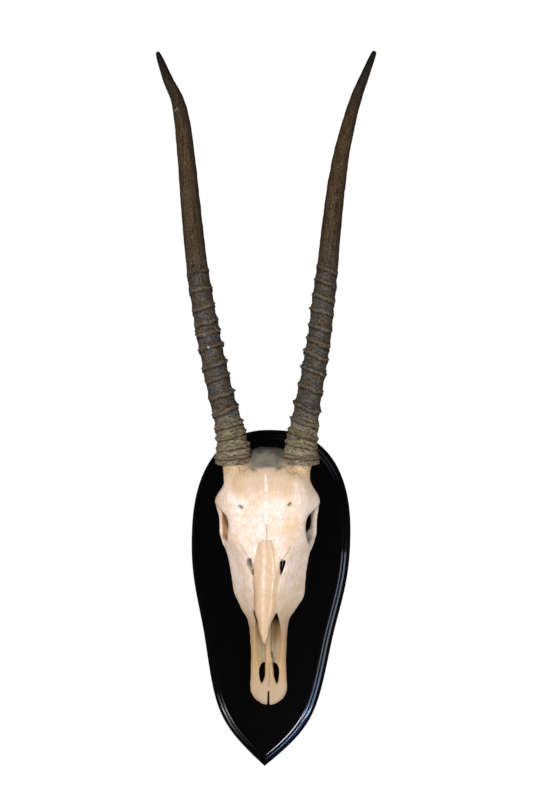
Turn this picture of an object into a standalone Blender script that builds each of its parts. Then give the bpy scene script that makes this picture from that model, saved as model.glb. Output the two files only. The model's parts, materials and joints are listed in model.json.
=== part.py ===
# Antelope skull trophy mount: a bleached skull with two ringed horns on a black shield-shaped board.
# Frame: the origin is on the flat back of the board, on its midline where the board is widest.
# +Z is up, +Y goes into the wall, and -Y faces the viewer. "depth" is the distance in front of the wall.
# All sizes below are in millimetres, and MM turns them into the scene's metres.

from math import cos, pi, radians, sin

import bmesh
import bpy
from mathutils import Matrix, Vector

MM = 0.001
GAP = 0.3

# Board
BOARD_HALF_WIDTH = 126.3
BOARD_TOP = 173.0
BOARD_TOP_SQUARENESS = 2.4
BOARD_WAIST = (99.9, -166.7)
BOARD_TIP = (0.0, -361.6)
BOARD_UPPER_PULLS = ((126.3, -71.4), (110.8, -106.4))
BOARD_LOWER_PULLS = ((80.8, -274.7), (77.6, -295.2))
BOARD_TOP_STEPS = 18
BOARD_SIDE_STEPS = 9
BOARD_EDGE_HEIGHT = 5.0
# Each step of the moulding, from the edge inwards: how far in, and how far forward.
MOULDING = ((2.2, 4.0), (1.8, 3.2), (2.0, 2.4), (2.6, 1.3), (1.2, -0.2), (0.8, 2.0), (1.8, 1.6), (4.1, 0.7))
FIELD = BOARD_EDGE_HEIGHT + sum(rise for _, rise in MOULDING)

# Skull and horns hang plumb in the photo while the board leans a little, so they turn together on the board.
SKULL_LEAN = radians(-1.3)
LEAN_PIVOT_Z = -70.0

# Horns: the centre line as (across, depth, height), listed from the base to the tip.
HORN_LINES = {
    "horn_left": (
        (-51.0, 122.0, 119.0), (-54.2, 123.3, 153.6), (-60.3, 124.6, 187.0), (-69.5, 126.0, 222.0),
        (-80.2, 127.5, 268.0), (-90.5, 128.6, 317.0), (-99.0, 129.2, 365.0), (-107.0, 129.2, 413.0),
        (-118.0, 127.2, 510.0), (-125.2, 124.1, 583.0), (-132.3, 120.9, 640.0), (-140.2, 118.9, 675.0),
        (-154.6, 116.8, 706.0), (-171.5, 114.0, 749.5)),
    "horn_right": (
        (49.8, 122.0, 119.0), (51.4, 123.3, 154.0), (56.0, 124.6, 187.0), (61.6, 126.0, 222.0),
        (69.8, 127.5, 269.0), (77.2, 128.6, 317.0), (82.5, 129.2, 365.0), (88.2, 129.2, 414.0),
        (97.6, 127.2, 510.0), (107.5, 124.1, 583.0), (120.2, 120.9, 640.0), (130.7, 118.9, 677.0),
        (142.0, 116.8, 707.0), (158.5, 114.0, 749.0)),
}
HORN_SIDES = 12
# The sheath's half width between its rings, as (distance from the base, half width).
HORN_GIRTH = {
    "horn_left": (
        (0, 27), (15, 25.5), (40, 21.2), (80, 19.4), (130, 17.8), (180, 16.8), (240, 16.5), (300, 16.1),
        (360, 15.4), (430, 14.3), (500, 12.8), (545, 11.4), (567, 9.7), (600, 7.6), (625, 5.6), (638, 4.0),
        (647, 1.0)),
    "horn_right": (
        (0, 27), (15, 25.5), (40, 21.2), (80, 19.2), (130, 17.6), (180, 16.6), (240, 16.3), (300, 15.6),
        (360, 14.8), (430, 13.7), (500, 11.3), (545, 9.4), (567, 8.7), (600, 6.9), (625, 5.4), (638, 4.0),
        (647, 1.0)),
}
HORN_DEPTH_RATIO = 1.08
# Room left round the sheath where the dome of the brain case passes it.
HORN_SEAT_ROOM = 2.0
HORN_SEAT_REACH = 70.0
# Growth rings: how far along the horn each one stands, measured on the middle of the front.
RINGS = {
    "horn_left": (17, 33, 49, 65, 87, 112, 138, 158, 186, 208, 223, 247, 273, 299),
    "horn_right": (16, 35, 51, 70, 93, 122, 149, 172, 191, 214, 238, 259, 281, 301),
}
RING_TILT = {"horn_left": radians(5), "horn_right": radians(13)}
# How much of the rings' tilt a section has: the seat is square to the horn, and so is the smooth part.
RING_TILT_SHARE = ((0, 0.0), (25, 1.0), (320, 1.0), (420, 0.0))
RING_HEIGHT = ((0, 2.6), (60, 3.2), (200, 2.8), (260, 1.6), (320, 0.8))
RING_FLANK = 5.0
SMOOTH_STATIONS = 16

# Skull. Each level is (height, front, shoulder, widest, behind, corner, back): front and back are depths on
# the midline, and the others are (across, depth) points between them.
BODY_SIDES = 28
BODY = (
    (148, 96, (8, 94), (14, 90), (14, 82), (8, 76), 74),
    (144.5, 112, (18, 109), (25, 98), (26, 84), (18, 72), 64),
    (138, 123, (26, 119), (35, 102), (38, 84), (28, 62), 54),
    (128, 133, (36, 129), (50, 112), (46, 88), (38, 57), 46),
    (118, 140.5, (42, 136), (58, 118), (48, 92), (42, 58), 42),
    (105, 146, (46, 142), (64, 118), (52, 92), (45, 60), 38),
    (90, 147.5, (48, 143), (68.2, 116), (56, 94), (46, 62), 37),
    (76, 147, (50, 142), (77, 108), (64, 92), (45, 64), 38),
    (62, 146, (50, 139.5), (79, 103), (62, 88), (42, 66), 40),
    (46, 143, (47, 137), (62, 118), (54, 86), (36, 64), 44),
    (30, 139.5, (43, 133), (58, 116), (50, 80), (32, 60), 46),
    (10, 135, (41, 127), (60, 108), (56, 74), (40, 54), 48),
    (-8, 131, (37, 122.5), (64, 84), (60, 64), (44, 48), 46),
    (-22, 128, (32, 120), (61, 77), (57, 60), (44, 46), 44),
    (-45, 122, (28, 113.5), (57.8, 69), (53, 54), (42, 44), 42),
    (-64, 116.5, (25, 108.5), (56.2, 64), (50, 52), (40, 43), 42),
    (-79, 112, (23, 104), (55, 60), (50, 50), (38, 43), 42),
    (-88, 109, (21, 100.5), (52.6, 60), (46, 50), (34, 42), 41),
    (-97, 106, (20, 97), (47.2, 62), (40, 52), (30, 41), 40),
    (-108, 100, (19, 91), (40, 62), (33, 50), (27, 40), 38),
    (-122, 86, (20, 81), (31.5, 60), (30, 48), (24, 38), 36),
    (-147, 68, (20, 65), (28.5, 52), (27, 42), (21, 34), 32),
    (-178, 52, (20, 51), (27.2, 44), (26, 37), (20, 31), 29),
    (-208, 43, (20, 43), (27.7, 39), (27, 34), (20, 29), 28),
    (-232, 39, (20, 39), (28.7, 36), (28, 32), (20, 28), 27),
    (-244, 37.5, (16, 37.5), (25, 34), (25, 31), (16, 28), 28),
    (-252, 36.5, (12, 36), (18.5, 33), (18.5, 31), (12, 28.5), 28.5),
    (-258, 34.5, (5, 34), (9, 32.5), (9, 31.5), (5, 30), 30),
)
# Nasal bones: (height, middle across, half width, depth of the crown, of the left edge, of the right edge).
NASALS = (
    (6, -2, 10.5, 135.3, 131, 131), (-10, -1, 15.5, 132, 125, 126), (-22, -1, 18.3, 129, 120, 122),
    (-45, -1.1, 20.8, 123.5, 111.5, 115), (-68, -2.5, 18, 117, 105, 110), (-90, -3.4, 17.1, 110.5, 98, 104),
    (-106, -3.5, 16, 106, 93, 97), (-118, -4.4, 11.6, 102.5, 92.5, 94), (-138, -5, 7.1, 96.5, 90, 90),
    (-147, -4.8, 4.4, 94, 88.5, 88.5), (-154, -4.9, 1.8, 92, 88, 88))
NASAL_VALLEY = 1.2
# Nasal opening, open to the front: (height, half width, front, back).
NASAL_OPENING = (
    (-62, 7, 82, 66), (-80, 12, 90, 62), (-97, 15.5, 96, 58), (-107, 17, 100, 54), (-111, 17.5, 140, 52),
    (-125, 19, 140, 47), (-147, 21.5, 140, 43), (-165, 21, 140, 40.5), (-185, 18.5, 140, 39.5),
    (-200, 14, 140, 39.5), (-212, 8, 140, 40.5))
# Vomer and the palatine bars between the slots: (height, across, half width, front, back).
VOMER = (
    (-84, 1.5, 1.5, 84, 50), (-110, 2.7, 1.6, 80, 44), (-135, 3.0, 1.8, 64, 40), (-148, 0.5, 3.4, 57, 40),
    (-160, -0.9, 5.0, 52.5, 38), (-175, -0.6, 5.2, 49.5, 36), (-188, 0.6, 5.5, 46.4, 32),
    (-205, 1.2, 7, 43.4, 30))
# Palatine slots: (height, distance from their middle line, half width). They go right through.
SLOT_MIDDLE = 1.2
PALATINE_SLOT = (
    (-190.5, 6.8, 1.2), (-193, 8.6, 4.2), (-199, 10.0, 5.6), (-208, 10.8, 5.0), (-216, 11.4, 3.2),
    (-222, 12, 1.7), (-225.5, 12.3, 0.8))
SLOT_DEPTHS = (60, 15)
# Openings beside the nasal bones: (height, across, half width).
LACRIMAL_SLOTS = (
    ((-22, -27, 1.0), (-26, -26, 2.8), (-32, -24.2, 2.4), (-40, -22.8, 1.7), (-50, -22.2, 1.0)),
    ((-20, 24.5, 1.5), (-23.5, 23.6, 4.4), (-30, 22.8, 3.8), (-38, 21.2, 2.6), (-46, 19.8, 1.2)))
LACRIMAL_DEPTHS = (140, 66)
# Rim of the eye socket, as (across, depth, height) once round.
ORBIT_RIM = (
    (53.2, 115.5, 30), (56, 113.5, 46), (66, 106, 58), (73, 96, 62), (73.5, 82, 54), (70.5, 72, 38),
    (69.5, 66, 14), (62.5, 82, -4), (55.5, 105, 6))
ORBIT_RIM_RADIUS = 4.6
ORBIT_CENTRE = (68, 95, 29)
ORBIT_RADII = (28, 20, 27)
CHEEK_ARCH = (
    (54, 62, -26), (64, 60, -6), (69.5, 60, 14), (70, 60, 36), (66, 58, 62), (58, 60, 84), (44, 64, 98))
CHEEK_ARCH_HALF = (4.5, 8.0)
# Holes in the brow, as a start and an end from the middle outwards.
BROW_HOLE = ((34.5, 118, 66), (37.5, 160, 56))
BROW_HOLE_RADIUS = 2.6
# Base of the skull: (height, half width, front, back). It reaches the board at its widest.
BASE = (
    (14, 10, 92, 60), (40, 13, 96, 52), (70, 17, 100, 40), (92, 21, 96, 17), (112, 22, 92, 17),
    (128, 17, 84, 26), (138, 10, 76, 40))
CONDYLE = (15, 38, 130, 9, 13, 11)
EAR_BULLA = (27, 48, 88, 9, 13, 13)
EAR_PROCESS = ((34, 58, 112), (36, 44, 112), (35, 30, 106))
EAR_PROCESS_HALF = (4.5, 6.0)
SPINAL_OPENING = ((0, 50, 150), (0, 62, 118))
SPINAL_OPENING_RADIUS = 10
PALATE_WING = ((20, 72, 2), (18, 60, 22), (15, 52, 44), (14, 60, 66))
PALATE_WING_HALF = (3.0, 9.0)
# Horn stumps: the radius, and how far they reach below and above the foot of the sheath.
HORN_STUMP_RADIUS = {"horn_left": 17.5, "horn_right": 15.5}
HORN_STUMP_REACH = (34.0, 8.0)
# Cheek teeth: the lengths of the six teeth along the row, from the front.
TEETH = (10, 12, 13, 17, 19, 20)
TEETH_START = -84.0
TEETH_ACROSS = 33.0
TEETH_HALF_WIDTH = 7.5
TEETH_ROOT_DEPTH = 52.0
TEETH_TIP_DEPTH = 16.0
# One tooth from front to back: (share of its length, share of its half width).
TOOTH_SWELL = ((0.04, 0.7), (0.2, 0.97), (0.5, 1.0), (0.8, 0.97), (0.96, 0.7))
TIP_SLIT = ((-226, 0.5), (-240, 1.3), (-262, 2.0))

VOXEL = 2.2
THIN_BONE_VOXEL = 1.3
SKULL_SHARE_OF_FACES = 0.044

# Screws through the board: height on the skull's own axis, and the screw's sizes.
SCREWS = {"mounting_screw_upper": 108.0, "mounting_screw_lower": 94.0}
SCREW_HEAD_RADIUS = 4.5
SCREW_HEAD_HEIGHT = 3.0
SCREW_SHANK_RADIUS = 2.2
SCREW_LENGTH = 42.0
SCREW_RECESS = 4.0
SCREW_CLEARANCE = 0.4
SCREW_POINT_LENGTH = 6.0
SCREW_HOLE_ROOM = 2.0
# The slab that trims the skull flat against the board: across, out from the wall, and up.
TRIM_SLAB = (400.0, 100.0, 800.0)


def clear_scene():
    for old in list(bpy.data.objects):
        bpy.data.objects.remove(old, do_unlink=True)


def make_material(name, colour, roughness, metallic=0.0):
    material = bpy.data.materials.new(name)
    material.use_nodes = True
    shader = material.node_tree.nodes["Principled BSDF"]
    shader.inputs["Base Color"].default_value = (*colour, 1.0)
    shader.inputs["Roughness"].default_value = roughness
    shader.inputs["Metallic"].default_value = metallic
    return material


def at(across, depth, height):
    return Vector((across, -depth, height)) * MM


def catmull(points, u, closed=False):
    """The point at u, counted in points, on a smooth curve through them all."""
    count = len(points)
    i = min(int(u), count - 1 if closed else count - 2)
    t = u - i
    near = []
    for k in range(i - 1, i + 3):
        near.append(Vector(points[k % count] if closed else points[max(0, min(count - 1, k))]))
    a, b, c, d = near
    return 0.5 * (2 * b + (c - a) * t + (2 * a - 5 * b + 4 * c - d) * t**2 + (3 * b - a - 3 * c + d) * t**3)


def line_value(table, s):
    """Straight interpolation in a table of (place, value)."""
    for (s0, v0), (s1, v1) in zip(table, table[1:]):
        if s <= s1:
            return v0 + (v1 - v0) * max(0.0, s - s0) / (s1 - s0)
    return table[-1][1]


def finish_object(bm, name, material, smooth_angle=40):
    bmesh.ops.remove_doubles(bm, verts=bm.verts, dist=1e-6)
    bmesh.ops.recalc_face_normals(bm, faces=bm.faces)
    mesh = bpy.data.meshes.new(name)
    bm.to_mesh(mesh)
    bm.free()
    mesh.shade_smooth()
    mesh.set_sharp_from_angle(angle=radians(smooth_angle))
    made = bpy.data.objects.new(name, mesh)
    bpy.context.scene.collection.objects.link(made)
    if material:
        made.data.materials.append(material)
    return made


def make_helper(bm, name):
    """A cutter or a rough form: it is used by a modifier and is no piece of its own."""
    helper = finish_object(bm, name, None)
    helper.hide_render = True
    helper.display_type = "WIRE"
    return helper


def loft(bm, rings):
    """A closed body through rings of equally many points: a cap is extruded from ring to ring."""
    made = bmesh.ops.create_circle(bm, cap_ends=True, segments=len(rings[0]), radius=MM)
    cap = made["verts"][0].link_faces[0]
    verts = set()
    for number, ring in enumerate(rings):
        if number:
            region = [cap, *cap.edges, *cap.verts] if number > 1 else [cap]
            grown = bmesh.ops.extrude_face_region(bm, geom=region)["geom"]
            cap = next(g for g in grown if isinstance(g, bmesh.types.BMFace))
        for vert, point in zip(cap.verts, ring):
            vert.co = point
        verts.update(cap.verts)
    bmesh.ops.recalc_face_normals(bm, faces=list({face for vert in verts for face in vert.link_faces}))


def oval_ring(centre, u, v, sides):
    return [centre + u * cos(2 * pi * i / sides) + v * sin(2 * pi * i / sides) for i in range(sides)]


def box_ring(across, half, front, back, height, sides=8):
    """A level section with flat sides and rounded corners."""
    ring = []
    for i in range(sides):
        turn = 2 * pi * (i + 0.5) / sides
        c = max(-1.0, min(1.0, 1.25 * cos(turn)))
        s = max(-1.0, min(1.0, 1.25 * sin(turn)))
        ring.append(at(across + half * c, (front + back) / 2 + (front - back) / 2 * s, height))
    return ring


def tube_along(bm, points, half_u, half_v, sides=8, steps=3, closed=False):
    """A bar of oval section along a smooth curve: half_u is level, and half_v is square to it."""
    spans = len(points) if closed else len(points) - 1
    rings = []
    for n in range(spans * steps + 1):
        u = n / steps
        here = catmull(points, min(u, spans - 1e-6), closed)
        ahead = catmull(points, min(u + 0.05, spans - 1e-6), closed)
        behind = catmull(points, max(u - 0.05, 0), closed)
        run = (at(*ahead) - at(*behind)).normalized()
        side = run.cross(Vector((0, 1, 0)))
        side = side.normalized() if side.length > 0.2 else run.cross(Vector((0, 0, 1))).normalized()
        rings.append(oval_ring(at(*here), side * half_u * MM, run.cross(side) * half_v * MM, sides))
    loft(bm, rings)


def ellipsoid(bm, centre, radii, sides=16):
    size = Matrix.Diagonal((*(Vector(radii) * MM), 1))
    place = Matrix.Translation(at(*centre))
    bmesh.ops.create_uvsphere(bm, u_segments=sides, v_segments=sides // 2, radius=1, matrix=place @ size)


def cylinder(bm, start, end, radius, sides=16, far_radius=None):
    start, end = at(*start), at(*end)
    turn = (end - start).to_track_quat("Z", "Y").to_matrix().to_4x4()
    far = radius if far_radius is None else far_radius
    bmesh.ops.create_cone(
        bm, cap_ends=True, segments=sides, radius1=radius * MM, radius2=far * MM,
        depth=(end - start).length, matrix=Matrix.Translation((start + end) / 2) @ turn)


def bezier(p0, p1, p2, p3, t):
    return [(1 - t)**3 * a + 3 * (1 - t)**2 * t * b + 3 * (1 - t) * t**2 * c + t**3 * d
            for a, b, c, d in zip(p0, p1, p2, p3)]


def board_outline():
    """The right half from the top middle down to the tip, then the mirrored left half."""
    half = []
    for i in range(BOARD_TOP_STEPS):
        turn = pi / 2 * (1 - i / BOARD_TOP_STEPS)
        power = 2 / BOARD_TOP_SQUARENESS
        half.append((BOARD_HALF_WIDTH * max(0.0, cos(turn))**power, BOARD_TOP * sin(turn)**power))
    half[0] = (0.0, BOARD_TOP)
    widest = (BOARD_HALF_WIDTH, 0.0)
    curves = ((widest, BOARD_UPPER_PULLS, BOARD_WAIST), (BOARD_WAIST, BOARD_LOWER_PULLS, BOARD_TIP))
    for start, pulls, end in curves:
        for i in range(BOARD_SIDE_STEPS):
            half.append(tuple(bezier(start, *pulls, end, i / BOARD_SIDE_STEPS)))
    return half + [BOARD_TIP] + [(-x, z) for x, z in reversed(half[1:])]


def skull_place(across, depth, height):
    """A point of the leaning skull and horns, in the board's frame."""
    pivot = at(0, 0, LEAN_PIVOT_Z)
    return Matrix.Rotation(SKULL_LEAN, 3, "Y") @ (at(across, depth, height) - pivot) + pivot


def make_plaque(material):
    bm = bmesh.new()
    verts = [bm.verts.new(at(x, 0, z)) for x, z in board_outline()]
    back = bm.faces.new(verts)
    grown = bmesh.ops.extrude_face_region(bm, geom=[back])["geom"]
    front = next(g for g in grown if isinstance(g, bmesh.types.BMFace))
    bmesh.ops.translate(bm, verts=front.verts, vec=at(0, BOARD_EDGE_HEIGHT, 0))
    bmesh.ops.recalc_face_normals(bm, faces=bm.faces)
    for inward, rise in MOULDING:
        bmesh.ops.inset_region(
            bm, faces=[front], thickness=inward * MM, depth=rise * MM, use_even_offset=True)
    plaque = finish_object(bm, "plaque", material, 20)
    cutter = bmesh.new()
    for height in SCREWS.values():
        centre = skull_place(0, 0, height) / MM
        for radius, reach in ((SCREW_HEAD_RADIUS + SCREW_CLEARANCE, SCREW_RECESS + SCREW_HEAD_HEIGHT),
                              (SCREW_SHANK_RADIUS + SCREW_CLEARANCE, FIELD + SCREW_HOLE_ROOM)):
            cylinder(cutter, (centre.x, -SCREW_HOLE_ROOM, centre.z), (centre.x, reach, centre.z), radius)
    holes = make_helper(cutter, "plaque_holes")
    cut(plaque, holes, "DIFFERENCE", own_overlaps=True)


def cut(piece, other, operation, own_overlaps=False):
    boolean = piece.modifiers.new(other.name, "BOOLEAN")
    boolean.operation = operation
    boolean.solver = "EXACT"
    boolean.use_self = own_overlaps
    boolean.object = other
    return boolean


def even_skin(piece, voxel):
    """Melts overlapping bodies into one skin."""
    remesh = piece.modifiers.new("one_skin", "REMESH")
    remesh.mode = "VOXEL"
    remesh.voxel_size = voxel * MM
    remesh.adaptivity = 0.0


def horn_stations(rings, length):
    """Distances along the horn: the foot, crest and head of each ring, then an even spacing to the tip."""
    stations = [0.0, 6.0]
    for ring in rings:
        for place in (ring - RING_FLANK, ring, ring + RING_FLANK):
            if place > stations[-1] + 2:
                stations.append(place)
    first = stations[-1]
    for n in range(SMOOTH_STATIONS):
        stations.append(first + (length - first) * (1 - (1 - (n + 1) / SMOOTH_STATIONS)**1.25))
    return stations


def make_horn(name, line, material):
    fine = [catmull(line, (len(line) - 1) * n / 400 * 0.999999) for n in range(401)]
    travelled = [0.0]
    for a, b in zip(fine, fine[1:]):
        travelled.append(travelled[-1] + (b - a).length)
    length = travelled[-1]
    inner = 1 if line[0][0] < 0 else -1
    rings = []
    for s in horn_stations(RINGS[name], length):
        i = min(range(len(fine)), key=lambda k: abs(travelled[k] - s))
        run = at(*fine[min(400, i + 4)]) - at(*fine[max(0, i - 4)])
        run.normalize()
        forward = (Vector((0, -1, 0)) - run * run.dot(Vector((0, -1, 0)))).normalized()
        side = run.cross(forward) * inner
        half = line_value(HORN_GIRTH[name], s)
        nearest = min(abs(s - ring) for ring in RINGS[name])
        rise = line_value(RING_HEIGHT, s) * max(0.0, 1 - nearest / RING_FLANK)
        tilt = sin(RING_TILT[name]) * line_value(RING_TILT_SHARE, s)
        ring = oval_ring(at(*fine[i]), (side + run * tilt) * (half + rise) * MM,
                         forward * (half * HORN_DEPTH_RATIO + rise) * MM, HORN_SIDES)
        rings.append(ring)
    bm = bmesh.new()
    loft(bm, rings)
    return finish_object(bm, name, material)


def body_ring(level):
    """One level of the skull: a smooth closed curve through the half outline and its mirror image."""
    height, front, shoulder, widest, behind, corner, back = level
    half = [(0, front), shoulder, widest, behind, corner, (0, back)]
    loop = [(x, depth, height) for x, depth in half]
    loop += [(-x, depth, height) for x, depth in reversed(half[1:-1])]
    return [at(*catmull(loop, len(loop) * i / BODY_SIDES, closed=True)) for i in range(BODY_SIDES)]


def horn_foot(name):
    """The middle of the horn's foot, and the way the horn leaves it."""
    base, above = Vector(HORN_LINES[name][0]), Vector(HORN_LINES[name][1])
    return base, (above - base).normalized()


def add_skull_side(bm, side):
    """What the skull has on each side: socket rim, cheek arch, teeth, ear region and horn stump."""
    def put(points):
        return [(side * x, depth, z) for x, depth, z in points]
    tube_along(bm, put(ORBIT_RIM), ORBIT_RIM_RADIUS, ORBIT_RIM_RADIUS, closed=True)
    tube_along(bm, put(CHEEK_ARCH), *CHEEK_ARCH_HALF)
    tube_along(bm, put(PALATE_WING), *PALATE_WING_HALF)
    tube_along(bm, put(EAR_PROCESS), *EAR_PROCESS_HALF)
    for x, depth, z, *radii in (CONDYLE, EAR_BULLA):
        ellipsoid(bm, (side * x, depth, z), radii)
    name = "horn_left" if side < 0 else "horn_right"
    base, run = horn_foot(name)
    below, above = HORN_STUMP_REACH
    cylinder(bm, base - run * below, base + run * above, HORN_STUMP_RADIUS[name], 20)
    start = TEETH_START
    rings = []
    for length in TEETH:
        for share, swell in TOOTH_SWELL:
            rings.append(box_ring(side * TEETH_ACROSS, TEETH_HALF_WIDTH * swell, TEETH_ROOT_DEPTH,
                                  TEETH_TIP_DEPTH, start + length * share))
        start += length
    loft(bm, rings)


def skull_form(material):
    """The rough form: overlapping bodies that one skin is then drawn over."""
    bm = bmesh.new()
    loft(bm, [body_ring(level) for level in BODY])
    loft(bm, [box_ring(0, half, front, back, z, 12) for z, half, front, back in BASE])
    for side in (-1, 1):
        add_skull_side(bm, side)
    return finish_object(bm, "skull", material, 50)


def skull_hollows():
    """Everything that is open in the bone."""
    bm = bmesh.new()
    loft(bm, [box_ring(0, half, front, back, z, 12) for z, half, front, back in NASAL_OPENING])
    loft(bm, [box_ring(0, half, *SLOT_DEPTHS, z) for z, half in TIP_SLIT])
    cylinder(bm, *SPINAL_OPENING, SPINAL_OPENING_RADIUS)
    for slot in LACRIMAL_SLOTS:
        loft(bm, [box_ring(x, half, *LACRIMAL_DEPTHS, z) for z, x, half in slot])
    for side in (-1, 1):
        loft(bm, [box_ring(SLOT_MIDDLE + side * x, half, *SLOT_DEPTHS, z) for z, x, half in PALATINE_SLOT])
        ellipsoid(bm, (side * ORBIT_CENTRE[0], *ORBIT_CENTRE[1:]), ORBIT_RADII)
        start, end = [(side * x, depth, z) for x, depth, z in BROW_HOLE]
        cylinder(bm, start, end, BROW_HOLE_RADIUS, 8)
    hollows = make_helper(bm, "skull_hollows")
    even_skin(hollows, THIN_BONE_VOXEL)
    return hollows


def skull_additions():
    """Thin bones that stand inside or over the nasal opening, so they join after it is cut."""
    bm = bmesh.new()
    rings = []
    for z, middle, half, crown, left, right in NASALS:
        loop = [(middle, crown - NASAL_VALLEY, z)]
        for side, edge in ((1, right), (-1, left)):
            vault = [(0.5, crown), (0.85, crown * 0.6 + edge * 0.4), (1, edge), (0.5, edge - 3)][::side]
            loop += [(middle + side * half * share, depth, z) for share, depth in vault]
        rings.append([at(*catmull(loop, len(loop) * i / 20, closed=True)) for i in range(20)])
    loft(bm, rings)
    loft(bm, [box_ring(x, half, front, back, z) for z, x, half, front, back in VOMER])
    return make_helper(bm, "skull_thin_bones")


def skull_seats():
    """Flat cuts: the board's face, the two horn seats and the holes for the screws."""
    bm = bmesh.new()
    across, out, up = TRIM_SLAB
    size = Matrix.Diagonal((across * MM, out * MM, up * MM, 1))
    bmesh.ops.create_cube(bm, size=1, matrix=Matrix.Translation(at(0, FIELD + GAP - out / 2, 0)) @ size)
    for name, girth in HORN_GIRTH.items():
        base, run = horn_foot(name)
        room = girth[0][1] * HORN_DEPTH_RATIO + HORN_SEAT_ROOM
        cylinder(bm, base - run * GAP, base + run * HORN_SEAT_REACH, room, 24)
    hole_end = SCREW_RECESS + SCREW_LENGTH + SCREW_HOLE_ROOM
    for height in SCREWS.values():
        cylinder(bm, (0, FIELD - SCREW_HOLE_ROOM, height), (0, hole_end, height),
                 SCREW_SHANK_RADIUS + SCREW_CLEARANCE)
    return make_helper(bm, "skull_seats")


def make_skull(material):
    skull = skull_form(material)
    even_skin(skull, VOXEL)
    cut(skull, skull_hollows(), "DIFFERENCE")
    additions = skull_additions()
    even_skin(additions, THIN_BONE_VOXEL)
    cut(skull, additions, "UNION")
    even_skin(skull, VOXEL)
    smooth = skull.modifiers.new("soft_bone", "SMOOTH")
    smooth.factor = 0.5
    smooth.iterations = 3
    fewer = skull.modifiers.new("fewer_faces", "DECIMATE")
    fewer.ratio = SKULL_SHARE_OF_FACES
    cut(skull, skull_seats(), "DIFFERENCE", own_overlaps=True)
    return skull


def make_screw(name, height, material):
    centre = skull_place(0, 0, height) / MM
    neck = SCREW_RECESS + SCREW_HEAD_HEIGHT
    end = SCREW_RECESS + SCREW_LENGTH
    profile = ((SCREW_RECESS, SCREW_HEAD_RADIUS), (SCREW_RECESS + 1, SCREW_HEAD_RADIUS),
               (neck - 0.2, SCREW_SHANK_RADIUS), (end - SCREW_POINT_LENGTH, SCREW_SHANK_RADIUS), (end, 0.4))
    across, up = Vector((MM, 0, 0)), Vector((0, 0, MM))
    bm = bmesh.new()
    loft(bm, [oval_ring(at(centre.x, depth, centre.z), across * radius, up * radius, 12)
              for depth, radius in profile])
    return finish_object(bm, name, material)


def lean(pieces):
    """Skull and horns turn together about a point on the board's back."""
    pivot = bpy.data.objects.new("skull_pivot", None)
    bpy.context.scene.collection.objects.link(pivot)
    pivot.location = at(0, 0, LEAN_PIVOT_Z)
    pivot.rotation_euler.y = SKULL_LEAN
    for piece in pieces:
        piece.parent = pivot
        piece.matrix_parent_inverse = Matrix.Translation(-at(0, 0, LEAN_PIVOT_Z))


def main():
    clear_scene()
    ebonised = make_material("ebonised wood", (0.004, 0.004, 0.004), 0.12)
    bone = make_material("bleached bone", (0.83, 0.68, 0.48), 0.5)
    horn = make_material("horn", (0.06, 0.045, 0.03), 0.6)
    steel = make_material("zinc plated steel", (0.55, 0.55, 0.56), 0.35, 1.0)
    make_plaque(ebonised)
    leaning = [make_skull(bone)]
    for name, line in HORN_LINES.items():
        leaning.append(make_horn(name, line, horn))
    for helper in ("skull_hollows", "skull_thin_bones", "skull_seats"):
        leaning.append(bpy.data.objects[helper])
    lean(leaning)
    for name, height in SCREWS.items():
        make_screw(name, height, steel)


main()
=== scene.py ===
# %% [markdown]
# # Antelope skull trophy mount
#
# A bleached antelope skull hangs on a black polished board, with both of its long ringed horns. The packed
# solids give every piece its place and size. This lesson gives the pieces their looks: the turned edge of
# the board, the bone with its seams and pores, and the horn with its growth rings and grain.
#
# The frame is in metres. The origin is on the back of the board, +Z is up and -Y faces the viewer. The
# sizes below are in millimetres, and "depth" is the distance in front of the wall.

# %% Load the frame
import json
from math import cos, pi, radians, sin
from random import Random

import bmesh
import bpy
import numpy as np
from mathutils import Matrix, Vector, noise

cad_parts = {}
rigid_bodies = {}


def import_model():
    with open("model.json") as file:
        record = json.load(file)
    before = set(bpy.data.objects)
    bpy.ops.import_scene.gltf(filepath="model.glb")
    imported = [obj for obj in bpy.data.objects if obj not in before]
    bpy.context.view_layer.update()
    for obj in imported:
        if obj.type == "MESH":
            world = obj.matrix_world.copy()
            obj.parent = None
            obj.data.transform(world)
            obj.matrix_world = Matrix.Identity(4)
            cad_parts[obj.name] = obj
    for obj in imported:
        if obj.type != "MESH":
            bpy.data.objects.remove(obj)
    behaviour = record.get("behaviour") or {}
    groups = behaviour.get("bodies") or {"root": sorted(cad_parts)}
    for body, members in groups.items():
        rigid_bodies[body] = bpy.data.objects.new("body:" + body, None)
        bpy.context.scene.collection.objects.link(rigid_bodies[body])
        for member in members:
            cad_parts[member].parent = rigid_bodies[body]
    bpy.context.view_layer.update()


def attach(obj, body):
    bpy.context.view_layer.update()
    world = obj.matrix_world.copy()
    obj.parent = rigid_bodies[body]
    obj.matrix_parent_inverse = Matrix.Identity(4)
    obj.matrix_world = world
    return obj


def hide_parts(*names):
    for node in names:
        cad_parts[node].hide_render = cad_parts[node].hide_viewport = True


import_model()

MM = 0.001


def at(across, depth, height):
    """A point in the row frame from three sizes in millimetres."""
    return Vector((across, -depth, height)) * MM


# %% [markdown]
# ## Camera
#
# The photograph was taken from about 2.4 m in front of the wall, a little to the right of the board and
# turned two degrees to the left. It is also tipped a degree and a half, which is why the board leans in the
# picture. A camera could be aimed at an empty, but three turns in a row say the same thing more plainly.

# %% Camera
CAMERA_PLACE = (73.3, 2410.0, 220.4)
CAMERA_TURN = radians(2.0)
CAMERA_ROLL = radians(1.59)
SENSOR = 36.0
LENS = 68.1

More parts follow.
